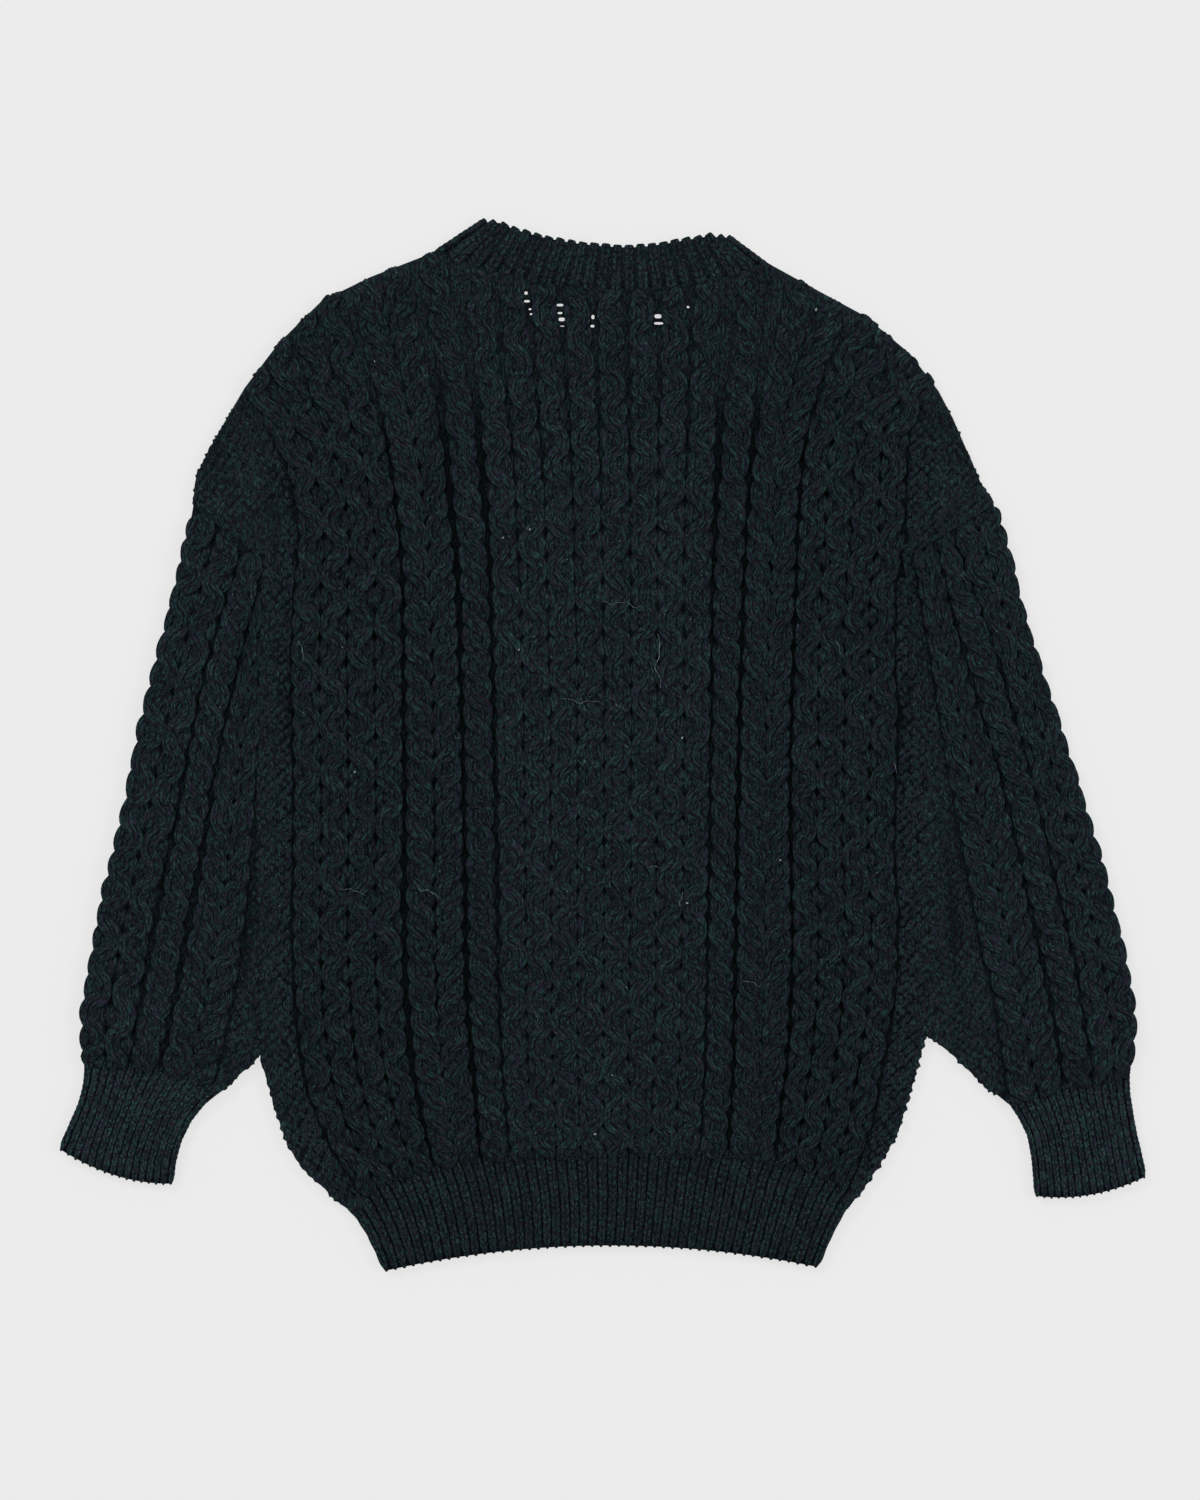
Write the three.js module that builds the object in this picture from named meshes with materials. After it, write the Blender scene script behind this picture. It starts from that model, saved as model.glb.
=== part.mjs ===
// Aran sweater, laid out flat with its back up and its arms straight down beside the body.
// Millimetres, +X to the wearer's right as it lies, +Y towards the neck, +Z up from the surface.
// Every piece is a wall of knitted cloth. The front lies on the surface, the back lies on the front,
// and each sleeve, cuff and the hem welt is a flattened tube that is open at both ends.
import * as THREE from 'three';

// ---- driving dimensions ----
const CABLE_CLOTH = 4.6;   // thickness of the cabled cloth
const RIB_CLOTH = 3.6;     // thickness of the ribbed cloth
const AIR = 1.0;           // air between the two layers
const SEAM = 0.3;          // gap between pieces at a seam
const LIP = 0.6;           // half height of the outermost strip of a rolled edge
const ROLL_STEPS = 3;      // steps round a rolled edge
const BODY_COLUMNS = 16;   // steps across a body panel between its rolled edges
const TUBE_COLUMNS = 7;    // steps across a sleeve or cuff between its rolled edges
const HEM_COLUMNS = 16;    // the hem welt keeps the body's steps, so the seam matches
const NECK_BAND_ROLL = 6;  // steps of the neckband round each shoulder fold
const OFFSET = { x: 0.05, y: -2.291 }; // puts the origin under the middle of the whole sweater

// Sections across the body from the hem seam up to the neck seam. bow is how far the middle of
// the section stands above (+) or below (-) the line between its ends, for each layer.
const BODY = [
  { edge: 'hem', leftX: -166.1, leftY: -300.3, rightX: 166.0, rightY: -292.5, backBow: 30.6, frontBow: 30.6, crown: 4.0 },
  { edge: 'side', leftX: -179.1, leftY: -289.2, rightX: 175.1, rightY: -279.5, backBow: 27.3, frontBow: 27.3, crown: 3.4 },
  { edge: 'side', leftX: -194.1, leftY: -275.6, rightX: 183.6, rightY: -265.9, backBow: 22.1, frontBow: 22.1, crown: 2.8 },
  { edge: 'side', leftX: -204.5, leftY: -259.4, rightX: 190.7, rightY: -253.5, backBow: 18.2, frontBow: 18.2, crown: 2.4 },
  { edge: 'side', leftX: -211.6, leftY: -239.8, rightX: 197.2, rightY: -233.3, backBow: 15.6, frontBow: 15.6, crown: 2.2 },
  { edge: 'side', leftX: -217.5, leftY: -219.1, rightX: 203.7, rightY: -210.6, backBow: 13.0, frontBow: 13.0, crown: 2.0 },
  { edge: 'side', leftX: -222.7, leftY: -200.2, rightX: 210.2, rightY: -186.6, backBow: 10.4, frontBow: 10.4, crown: 2.0 },
  { edge: 'side', leftX: -223.6, leftY: -141.0, rightX: 212.9, rightY: -128.2, backBow: 5.2, frontBow: 5.2, crown: 2.0 },
  { edge: 'side', leftX: -224.5, leftY: -85.0, rightX: 215.3, rightY: -75.7, backBow: 2.0, frontBow: 2.0, crown: 2.0 },
  { edge: 'side', leftX: -225.3, leftY: -35.1, rightX: 217.4, rightY: -28.6, backBow: 0.0, frontBow: 0.0, crown: 2.0 },
  { edge: 'arm', leftX: -225.0, leftY: -24.0, rightX: 216.0, rightY: -19.2, backBow: 0.0, frontBow: 0.0, crown: 2.0 },
  { edge: 'arm', leftX: -223.6, leftY: 32.0, rightX: 207.4, rightY: 39.1, backBow: 0.0, frontBow: -0.5, crown: 2.0 },
  { edge: 'arm', leftX: -222.4, leftY: 81.9, rightX: 201.1, rightY: 81.9, backBow: 0.0, frontBow: -2.0, crown: 2.0 },
  { edge: 'arm', leftX: -221.4, leftY: 120.9, rightX: 195.3, rightY: 120.9, backBow: 0.0, frontBow: -5.2, crown: 2.0 },
  { edge: 'arm', leftX: -244.8, leftY: 139.4, rightX: 225.8, rightY: 139.4, backBow: 0.0, frontBow: -9.8, crown: 2.0 },
  { edge: 'arm', leftX: -264.3, leftY: 154.9, rightX: 251.2, rightY: 154.8, backBow: -0.7, frontBow: -16.2, crown: 2.0 },
  { edge: 'shoulder', leftX: -268.2, leftY: 158.0, rightX: 256.4, rightY: 158.0, backBow: -0.7, frontBow: -18.2, crown: 2.0 },
  { edge: 'shoulder', leftX: -266.2, leftY: 175.5, rightX: 247.3, rightY: 172.9, backBow: -1.3, frontBow: -26.0, crown: 2.0 },
  { edge: 'shoulder', leftX: -257.8, leftY: 192.4, rightX: 237.5, rightY: 194.3, backBow: -2.6, frontBow: -35.1, crown: 2.0 },
  { edge: 'shoulder', leftX: -247.4, leftY: 210.6, rightX: 229.1, rightY: 213.2, backBow: -3.9, frontBow: -45.5, crown: 2.1 },
  { edge: 'shoulder', leftX: -233.7, leftY: 233.3, rightX: 219.3, rightY: 231.4, backBow: -5.2, frontBow: -56.6, crown: 2.1 },
  { edge: 'shoulder', leftX: -211.6, leftY: 261.9, rightX: 200.5, rightY: 255.5, backBow: -8.5, frontBow: -71.5, crown: 2.2 },
  { edge: 'shoulder', leftX: -183.0, leftY: 289.9, rightX: 170.6, rightY: 280.2, backBow: -13.0, frontBow: -86.5, crown: 2.2 },
  { edge: 'shoulder', leftX: -151.2, leftY: 305.5, rightX: 139.4, rightY: 297.1, backBow: -16.9, frontBow: -93.0, crown: 2.2 },
  { edge: 'neck', leftX: -107.6, leftY: 322.4, rightX: 107.5, rightY: 314.6, backBow: -20.8, frontBow: -98.2, crown: 2.2 },
];

// The neck opening's edge: the ends of the band at the two shoulder folds, and how far each half
// dips below the line between them.
const NECK = { leftX: -75.8, leftY: 342.6, rightX: 81.5, rightY: 331.5, backBow: -12.3, frontBow: -84.0, crown: 2.2, frontCrown: 3.2 };

// Sections across each sleeve from its armhole seam to its cuff seam, outer fold first. The first
// SLEEVE_OPEN sections end on the body's armhole edge, the others end in the inner fold.
const SLEEVE_OPEN = 4;
const SLEEVE_LEFT = [
  { outerX: -268.2, outerY: 158.0, innerX: -221.4, innerY: 120.9, bow: 0.0 },
  { outerX: -273.4, outerY: 127.4, innerX: -222.4, innerY: 81.9, bow: 0.0 },
  { outerX: -281.8, outerY: 91.7, innerX: -223.4, innerY: 42.9, bow: 0.0 },
  { outerX: -292.9, outerY: 48.1, innerX: -224.3, innerY: 3.9, bow: 0.0 },
  { outerX: -303.9, outerY: 3.9, innerX: -225.3, innerY: -35.1, bow: 0.0 },
  { outerX: -311.1, outerY: -35.1, innerX: -224.6, innerY: -79.0, bow: 0.0 },
  { outerX: -319.4, outerY: -72.8, innerX: -224.0, innerY: -118.3, bow: 0.0 },
  { outerX: -328.6, outerY: -109.2, innerX: -223.3, innerY: -159.9, bow: 0.0 },
  { outerX: -334.5, outerY: -139.1, innerX: -222.7, innerY: -200.2, bow: 0.0 },
  { outerX: -339.2, outerY: -166.4, innerX: -230.5, innerY: -208.0, bow: 2.0 },
  { outerX: -339.7, outerY: -187.8, innerX: -238.9, innerY: -215.8, bow: 3.2 },
  { outerX: -337.7, outerY: -208.7, innerX: -247.4, innerY: -223.6, bow: 4.5 },
];
const SLEEVE_RIGHT = [
  { outerX: 256.4, outerY: 158.0, innerX: 195.3, innerY: 120.9, bow: 0.0 },
  { outerX: 264.8, outerY: 127.4, innerX: 201.1, innerY: 81.9, bow: 0.0 },
  { outerX: 273.9, outerY: 88.4, innerX: 206.8, innerY: 42.9, bow: 0.0 },
  { outerX: 285.0, outerY: 52.6, innerX: 212.8, innerY: 2.6, bow: 0.0 },
  { outerX: 297.3, outerY: 15.6, innerX: 217.4, innerY: -28.6, bow: 0.0 },
  { outerX: 309.0, outerY: -22.1, innerX: 215.6, innerY: -68.9, bow: 0.0 },
  { outerX: 319.4, outerY: -54.6, innerX: 213.9, innerY: -106.5, bow: 0.0 },
  { outerX: 328.5, outerY: -87.1, innerX: 212.1, innerY: -145.8, bow: 0.0 },
  { outerX: 336.3, outerY: -119.6, innerX: 210.2, innerY: -186.6, bow: 0.0 },
  { outerX: 343.5, outerY: -148.8, innerX: 229.1, innerY: -201.5, bow: 0.0 },
  { outerX: 347.4, outerY: -182.7, innerX: 247.3, innerY: -219.1, bow: 0.0 },
  { outerX: 343.5, outerY: -213.2, innerX: 264.2, innerY: -232.7, bow: 0.0 },
];

// Sections across each cuff from the seam to the wrist edge.
const CUFF_LEFT = [
  { outerX: -337.7, outerY: -208.7, innerX: -247.4, innerY: -223.6, bow: 4.5 },
  { outerX: -338.4, outerY: -219.7, innerX: -257.8, innerY: -232.7, bow: 2.6 },
  { outerX: -341.6, outerY: -232.1, innerX: -266.9, innerY: -243.8, bow: 0.0 },
  { outerX: -347.5, outerY: -245.7, innerX: -273.4, innerY: -256.8, bow: -2.6 },
  { outerX: -351.4, outerY: -254.2, innerX: -277.3, innerY: -271.1, bow: -4.5 },
  { outerX: -354.6, outerY: -261.3, innerX: -278.6, innerY: -284.7, bow: -6.5 },
];
const CUFF_RIGHT = [
  { outerX: 343.5, outerY: -213.2, innerX: 264.2, innerY: -232.7, bow: 0.0 },
  { outerX: 343.5, outerY: -224.2, innerX: 270.0, innerY: -241.8, bow: -1.3 },
  { outerX: 345.4, outerY: -237.2, innerX: 275.9, innerY: -253.5, bow: -2.6 },
  { outerX: 348.0, outerY: -251.6, innerX: 278.5, innerY: -267.2, bow: -3.9 },
  { outerX: 351.3, outerY: -265.2, innerX: 279.8, innerY: -280.2, bow: -5.2 },
  { outerX: 354.5, outerY: -279.5, innerX: 280.4, innerY: -292.5, bow: -5.9 },
];

// Sections across the hem welt from the seam to the free edge.
const HEM = [
  { outerX: -166.1, outerY: -300.3, innerX: 166.0, innerY: -292.5, bow: 30.6, crown: 4.0 },
  { outerX: -159.6, outerY: -308.8, innerX: 159.5, innerY: -300.9, bow: 27.3, crown: 3.4 },
  { outerX: -153.1, outerY: -319.2, innerX: 153.7, innerY: -310.7, bow: 23.4, crown: 2.8 },
  { outerX: -147.9, outerY: -330.2, innerX: 147.8, innerY: -323.1, bow: 19.5, crown: 2.3 },
  { outerX: -143.4, outerY: -341.9, innerX: 141.3, innerY: -339.3, bow: 15.6, crown: 2.0 },
];

// The largest folds and swells of the top layer: where the full cloth is drawn in by a rib, and
// the soft ridges beside the armholes. reach is along the fold, spread is across it, turn is the
// fold's direction in degrees from +X.
const FOLDS = [
  { name: 'fullness above the hem', x: 0, y: -262, reach: 190, spread: 22, turn: 0, lift: 5.0 },
  { name: 'left hem corner', x: -186, y: -255, reach: 46, spread: 20, turn: -58, lift: 4.0 },
  { name: 'right hem corner', x: 176, y: -248, reach: 46, spread: 20, turn: 62, lift: 4.0 },
  { name: 'fullness above the left cuff', x: -295, y: -190, reach: 52, spread: 18, turn: -12, lift: 5.0 },
  { name: 'fullness above the right cuff', x: 308, y: -196, reach: 52, spread: 18, turn: -14, lift: 5.0 },
  { name: 'left armhole ridge', x: -196, y: 150, reach: 80, spread: 20, turn: 74, lift: 3.0 },
  { name: 'right armhole ridge', x: 176, y: 150, reach: 80, spread: 20, turn: 104, lift: 3.0 },
  { name: 'left sleeve head', x: -268, y: 90, reach: 60, spread: 18, turn: 70, lift: 2.5 },
  { name: 'right sleeve head', x: 258, y: 90, reach: 60, spread: 18, turn: 110, lift: 2.5 },
];

function lift(x, y) {
  let z = 0;
  for (const f of FOLDS) {
    const a = f.turn * Math.PI / 180, dx = x - f.x, dy = y - f.y;
    const along = (dx * Math.cos(a) + dy * Math.sin(a)) / f.reach;
    const across = (-dx * Math.sin(a) + dy * Math.cos(a)) / f.spread;
    z += f.lift * Math.exp(-along * along - across * across);
  }
  return z;
}

// ---- rows ----
// A row is a section across a piece: its two ends a and b, and the bow of its middle.
const row = (ax, ay, bx, by, bow, crown = 2) => ({ a: [ax, ay], b: [bx, by], bow, crown });
const at = (r, u) => [
  r.a[0] + (r.b[0] - r.a[0]) * u,
  r.a[1] + (r.b[1] - r.a[1]) * u + r.bow * (1 - Math.pow(Math.abs(2 * u - 1), r.crown)),
];
const span = (r) => Math.hypot(r.b[0] - r.a[0], r.b[1] - r.a[1]);

// The share of a row that a step in from its end takes, so that the roll keeps its radius where
// the edge runs slanting to the row.
function slant(rows, j, side) {
  const p = rows[Math.max(0, j - 1)][side], q = rows[Math.min(rows.length - 1, j + 1)][side];
  const ex = q[0] - p[0], ey = q[1] - p[1], r = rows[j];
  const rx = r.b[0] - r.a[0], ry = r.b[1] - r.a[1];
  const s = Math.abs(ex * ry - ey * rx) / (Math.hypot(ex, ey) * Math.hypot(rx, ry));
  return Math.min(2.6, 1 / Math.max(s, 0.1));
}

// Places across a row: the steps of the rolled edge at each end, and even steps between.
function columns(rows, j, radius, steps, slanted) {
  const r = rows[j], len = span(r), ins = [];
  for (let k = 0; k <= ROLL_STEPS; k++) ins.push(radius * (1 - Math.cos(k / ROLL_STEPS * Math.PI / 2)) / len);
  const fa = slanted ? slant(rows, j, 'a') : 1, fb = slanted ? slant(rows, j, 'b') : 1;
  const left = ins.map((d) => ({ u: d * fa, roll: Math.sin(Math.min(1, ins.indexOf(d) / ROLL_STEPS) * Math.PI / 2), side: 'a' }));
  const right = ins.map((d) => ({ u: 1 - d * fb, roll: Math.sin(Math.min(1, ins.indexOf(d) / ROLL_STEPS) * Math.PI / 2), side: 'b' })).reverse();
  const u0 = left[left.length - 1].u, u1 = right[0].u, mid = [];
  for (let k = 1; k < steps; k++) mid.push({ u: u0 + (u1 - u0) * k / steps, roll: 1, side: 'm' });
  return [...left, ...mid, ...right];
}

// ---- closed walls ----
class Wall {
  constructor() { this.p = []; this.t = []; }
  v(x, y, z) { this.p.push(x + OFFSET.x, y + OFFSET.y, z); return this.p.length / 3 - 1; }
  quad(a, b, c, d) { this.t.push(a, b, c, a, c, d); }
  geometry() {
    const p = this.p, t = this.t;
    let vol = 0;
    for (let i = 0; i < t.length; i += 3) {
      const a = t[i] * 3, b = t[i + 1] * 3, c = t[i + 2] * 3;
      vol += p[a] * (p[b + 1] * p[c + 2] - p[b + 2] * p[c + 1])
        - p[a + 1] * (p[b] * p[c + 2] - p[b + 2] * p[c])
        + p[a + 2] * (p[b] * p[c + 1] - p[b + 1] * p[c]);
    }
    if (vol < 0) for (let i = 0; i < t.length; i += 3) [t[i + 1], t[i + 2]] = [t[i + 2], t[i + 1]];
    const g = new THREE.BufferGeometry();
    g.setAttribute('position', new THREE.Float32BufferAttribute(p, 3));
    g.setIndex(t);
    g.computeVertexNormals();
    return g;
  }
}

// One layer of the body: a wall whose side and shoulder edges roll towards the other layer, and
// whose hem, armhole and neck edges are cut square. top is true for the back.
function panel(bowName, top) {
  const rows = BODY.map((b) => row(b.leftX, b.leftY, b.rightX, b.rightY, b[bowName], b.crown));
  const mid = CABLE_CLOTH + AIR / 2, w = new Wall(), outer = [], inner = [];
  rows.forEach((r, j) => {
    const edge = BODY[j].edge, rolled = edge !== 'arm';
    const o = [], n = [];
    for (const c of columns(rows, j, CABLE_CLOTH, BODY_COLUMNS, edge === 'shoulder' || edge === 'neck')) {
      const [x, y] = at(r, c.u), roll = rolled ? c.roll : 1;
      const puff = top ? lift(x, y) * roll * (c.side === 'm' ? 1 : c.roll) : 0;
      const face = AIR / 2 + LIP + (CABLE_CLOTH - LIP) * roll + puff;
      const back = AIR / 2 + puff * 0.9;
      o.push(w.v(x, y, top ? mid + face : mid - face));
      n.push(w.v(x, y, top ? mid + back : mid - back));
    }
    outer.push(o); inner.push(n);
  });
  const M = rows.length - 1, N = outer[0].length - 1;
  for (let j = 0; j < M; j++) for (let k = 0; k < N; k++) {
    w.quad(outer[j][k], outer[j][k + 1], outer[j + 1][k + 1], outer[j + 1][k]);
    w.quad(inner[j][k], inner[j + 1][k], inner[j + 1][k + 1], inner[j][k + 1]);
  }
  for (let j = 0; j < M; j++) {
    w.quad(outer[j][0], outer[j + 1][0], inner[j + 1][0], inner[j][0]);
    w.quad(outer[j][N], inner[j][N], inner[j + 1][N], outer[j + 1][N]);
  }
  for (let k = 0; k < N; k++) {
    w.quad(outer[0][k], inner[0][k], inner[0][k + 1], outer[0][k + 1]);
    w.quad(outer[M][k], outer[M][k + 1], inner[M][k + 1], inner[M][k]);
  }
  return w.geometry();
}

// A flattened tube, open at its first and last row. The first `open` rows have no inner fold:
// their ends stand on the body's armhole edge. Side a is the outer fold, side b the inner one.
function tube(rows, cloth, steps, open) {
  const mid = cloth + AIR / 2, w = new Wall(), OT = [], IT = [], IB = [], OB = [];
  rows.forEach((r, j) => {
    const len = span(r), cols = columns(rows, j, cloth, steps, open > 0), N = cols.length - 1;
    const ot = [], it = [], ib = [], ob = [];
    const inA = cloth / len, inB = j < open ? 0 : cloth / len;
    cols.forEach((c, k) => {
      const roll = c.side === 'b' && j < open ? 1 : c.roll, [x, y] = at(r, c.u);
      const puff = lift(x, y) * roll * (c.side === 'm' ? 1 : c.roll);
      ot.push(w.v(x, y, mid + LIP + (cloth + AIR / 2 - LIP) * roll + puff));
      ob.push(w.v(x, y, mid - LIP - (cloth + AIR / 2 - LIP) * roll));
      const v = inA + (1 - inA - inB) * k / N, [ix, iy] = at(r, v);
      const hollow = AIR / 2 + lift(ix, iy) * 0.9 * Math.min(1, 4 * (v - inA), j < open ? 1 : 4 * (1 - inB - v));
      it.push(w.v(ix, iy, mid + hollow));
      ib.push(w.v(ix, iy, mid - AIR / 2));
    });
    OT.push(ot); IT.push(it); IB.push(ib); OB.push(ob);
  });
  const M = rows.length - 1, N = OT[0].length - 1;
  for (let j = 0; j < M; j++) for (let k = 0; k < N; k++) {
    w.quad(OT[j][k], OT[j + 1][k], OT[j + 1][k + 1], OT[j][k + 1]);
    w.quad(IT[j][k], IT[j][k + 1], IT[j + 1][k + 1], IT[j + 1][k]);
    w.quad(IB[j][k], IB[j + 1][k], IB[j + 1][k + 1], IB[j][k + 1]);
    w.quad(OB[j][k], OB[j][k + 1], OB[j + 1][k + 1], OB[j + 1][k]);
  }
  for (let j = 0; j < M; j++) {
    w.quad(OT[j + 1][0], OT[j][0], OB[j][0], OB[j + 1][0]);
    w.quad(IT[j][0], IT[j + 1][0], IB[j + 1][0], IB[j][0]);
    if (j < open) {
      w.quad(OT[j][N], OT[j + 1][N], IT[j + 1][N], IT[j][N]);
      w.quad(OB[j + 1][N], OB[j][N], IB[j][N], IB[j + 1][N]);
    } else {
      w.quad(OT[j][N], OT[j + 1][N], OB[j + 1][N], OB[j][N]);
      w.quad(IT[j + 1][N], IT[j][N], IB[j][N], IB[j + 1][N]);
    }
  }
  for (let k = 0; k < N; k++) {
    w.quad(OT[0][k], OT[0][k + 1], IT[0][k + 1], IT[0][k]);
    w.quad(OB[0][k + 1], OB[0][k], IB[0][k], IB[0][k + 1]);
    w.quad(OT[M][k + 1], OT[M][k], IT[M][k], IT[M][k + 1]);
    w.quad(OB[M][k], OB[M][k + 1], IB[M][k + 1], IB[M][k]);
  }
  w.quad(OT[0][0], IT[0][0], IB[0][0], OB[0][0]);
  w.quad(IT[open][N], OT[open][N], OB[open][N], IB[open][N]);
  w.quad(IT[M][0], OT[M][0], OB[M][0], IB[M][0]);
  w.quad(OT[M][N], IT[M][N], IB[M][N], OB[M][N]);
  return w.geometry();
}

// Rows of a sleeve, set off from the armhole seam and from the body's side by the seam gap.
function sleeveRows(table, dir) {
  return table.map((s, j) => {
    let { outerX: ax, outerY: ay, innerX: bx, innerY: by } = s;
    if (j === 0) { ax += dir * 0.26; ay -= 0.33; by -= 0.3; }
    if (j <= 8) bx += dir * 0.42;
    return row(ax, ay, bx, by, s.bow);
  });
}
const ribRows = (table, drop) => table.map((s, j) => row(s.outerX, s.outerY - (j === 0 ? drop : 0),
  s.innerX, s.innerY - (j === 0 ? drop : 0), s.bow, s.crown ?? 2));

// The neckband: one strip of rib that goes round the neck opening. Its back half lies on the top
// layer, its front half on the lower layer, and it rolls over between them at both shoulders.
function neckband() {
  const b = BODY[BODY.length - 1];
  const seam = (bow) => row(b.leftX, b.leftY, b.rightX, b.rightY, bow, b.crown);
  const edge = (bow, crown = NECK.crown) => row(NECK.leftX, NECK.leftY, NECK.rightX, NECK.rightY, bow, crown);
  const rows = BODY.map((q) => row(q.leftX, q.leftY, q.rightX, q.rightY, q.backBow, q.crown));
  const us = columns(rows, rows.length - 1, CABLE_CLOTH, BODY_COLUMNS, true).map((c) => c.u);
  const zTop = CABLE_CLOTH + AIR + RIB_CLOTH / 2, zLow = RIB_CLOTH / 2;
  const zMid = (zTop + zLow) / 2, radius = (zTop - zLow) / 2;
  const sections = [];
  // the seam side stands off the panel by the seam gap, measured towards the opening
  const strip = (u, seamRow, edgeRow, z, dir) => {
    const s = at(seamRow, u), e = at(edgeRow, u), d = Math.hypot(e[0] - s[0], e[1] - s[1]);
    const k = (SEAM * 1.6) / d;
    return { s: [s[0] + (e[0] - s[0]) * k, s[1] + (e[1] - s[1]) * k, z], e: [e[0], e[1], z], n: [0, 0, dir] };
  };
  const fold = (side) => {
    const u = side < 0 ? 0 : 1, f = strip(u, seam(b.backBow), edge(NECK.backBow), zMid, 1);
    const dx = f.e[0] - f.s[0], dy = f.e[1] - f.s[1], d = Math.hypot(dx, dy);
    const out = [side * Math.abs(dy) / d, Math.abs(dx) / d];
    const list = [];
    for (let i = 0; i <= NECK_BAND_ROLL; i++) {
      const a = Math.PI / 2 - Math.PI * i / NECK_BAND_ROLL, c = Math.cos(a), s = Math.sin(a);
      const sh = [out[0] * radius * c, out[1] * radius * c, radius * s];
      list.push({
        s: [f.s[0] + sh[0], f.s[1] + sh[1], zMid + sh[2]],
        e: [f.e[0] + sh[0], f.e[1] + sh[1], zMid + sh[2]],
        n: [out[0] * c, out[1] * c, s],
      });
    }
    return list; // from the top layer over the fold to the lower layer
  };
  const inside = us.filter((u) => u > 0.03 && u < 0.97);
  fold(-1).reverse().forEach((s) => sections.push(s));
  inside.forEach((u) => sections.push(strip(u, seam(b.backBow), edge(NECK.backBow), zTop, 1)));
  fold(1).forEach((s) => sections.push(s));
  [...inside].reverse().forEach((u) => sections.push(strip(u, seam(b.frontBow), edge(NECK.frontBow, NECK.frontCrown), zLow, -1)));
  const w = new Wall(), h = RIB_CLOTH / 2;
  const rings = sections.map(({ s, e, n }) => [
    w.v(s[0] + n[0] * h, s[1] + n[1] * h, s[2] + n[2] * h),
    w.v(e[0] + n[0] * h, e[1] + n[1] * h, e[2] + n[2] * h),
    w.v(e[0] - n[0] * h, e[1] - n[1] * h, e[2] - n[2] * h),
    w.v(s[0] - n[0] * h, s[1] - n[1] * h, s[2] - n[2] * h),
  ]);
  rings.forEach((r, i) => {
    const q = rings[(i + 1) % rings.length];
    for (let k = 0; k < 4; k++) w.quad(r[k], q[k], q[(k + 1) % 4], r[(k + 1) % 4]);
  });
  return w.geometry();
}

// ---- the sweater ----
const wool = (color, roughness) => new THREE.MeshStandardMaterial({ color, roughness, metalness: 0 });
const sweater = new THREE.Group();
function add(name, geometry, material) {
  const mesh = new THREE.Mesh(geometry, material);
  mesh.name = name;
  sweater.add(mesh);
}
const cabled = wool(0x1c2529, 0.95), ribbed = wool(0x1f282d, 0.93);
add('back_panel', panel('backBow', true), cabled);
add('front_panel', panel('frontBow', false), cabled);
add('sleeve_left', tube(sleeveRows(SLEEVE_LEFT, -1), CABLE_CLOTH, TUBE_COLUMNS, SLEEVE_OPEN), cabled);
add('sleeve_right', tube(sleeveRows(SLEEVE_RIGHT, 1), CABLE_CLOTH, TUBE_COLUMNS, SLEEVE_OPEN), cabled);
add('cuff_left', tube(ribRows(CUFF_LEFT, 0.6), RIB_CLOTH, TUBE_COLUMNS, 0), ribbed);
add('cuff_right', tube(ribRows(CUFF_RIGHT, 0.6), RIB_CLOTH, TUBE_COLUMNS, 0), ribbed);
add('hem_rib', tube(ribRows(HEM, 0.8), RIB_CLOTH, HEM_COLUMNS, 0), ribbed);
add('neckband', neckband(), ribbed);

export default sweater;
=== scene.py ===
# Aran sweater laid flat, back up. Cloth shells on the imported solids, cable strands and ribs
# worked stitch row by stitch row over them, and a plain studio. Tables are in millimetres.
import bpy, math
import numpy as np
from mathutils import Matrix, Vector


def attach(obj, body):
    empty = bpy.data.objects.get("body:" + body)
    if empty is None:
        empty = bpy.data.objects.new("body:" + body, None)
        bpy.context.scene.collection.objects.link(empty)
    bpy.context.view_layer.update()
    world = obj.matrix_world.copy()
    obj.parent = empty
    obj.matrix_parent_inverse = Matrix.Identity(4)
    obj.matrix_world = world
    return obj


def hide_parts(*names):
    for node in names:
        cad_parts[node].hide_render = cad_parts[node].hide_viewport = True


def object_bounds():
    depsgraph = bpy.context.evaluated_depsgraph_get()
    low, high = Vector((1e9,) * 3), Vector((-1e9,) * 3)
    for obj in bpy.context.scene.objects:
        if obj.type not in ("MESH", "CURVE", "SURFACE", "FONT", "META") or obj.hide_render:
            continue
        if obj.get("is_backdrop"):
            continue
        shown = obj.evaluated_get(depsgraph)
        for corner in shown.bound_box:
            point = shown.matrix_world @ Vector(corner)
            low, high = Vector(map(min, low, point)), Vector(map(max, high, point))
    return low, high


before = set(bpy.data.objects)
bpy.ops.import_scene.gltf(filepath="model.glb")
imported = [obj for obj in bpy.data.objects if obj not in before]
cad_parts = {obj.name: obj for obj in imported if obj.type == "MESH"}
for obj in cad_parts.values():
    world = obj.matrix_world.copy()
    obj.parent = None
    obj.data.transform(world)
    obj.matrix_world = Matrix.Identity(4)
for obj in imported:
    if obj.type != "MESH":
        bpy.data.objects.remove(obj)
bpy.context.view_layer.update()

MM = 0.001
OFFSET = np.array([0.05, -2.291])   # tables are centred on the seam layout, the frame on the box
RNG = np.random.default_rng(7)


def table(*lines):
    """Named columns from rows of text."""
    names = lines[0].split()
    data = np.array([[float(v) for v in line.split()] for line in lines[1:]])
    return {n: data[:, i] for i, n in enumerate(names)}


# ---- the garment's cut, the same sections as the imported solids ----
ROW_HEIGHT = 4.095          # one knitted row
CROSSING = 4 * ROW_HEIGHT   # a cable crosses every fourth row
BODY_MID, RIB_MID = 5.1, 4.1

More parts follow.
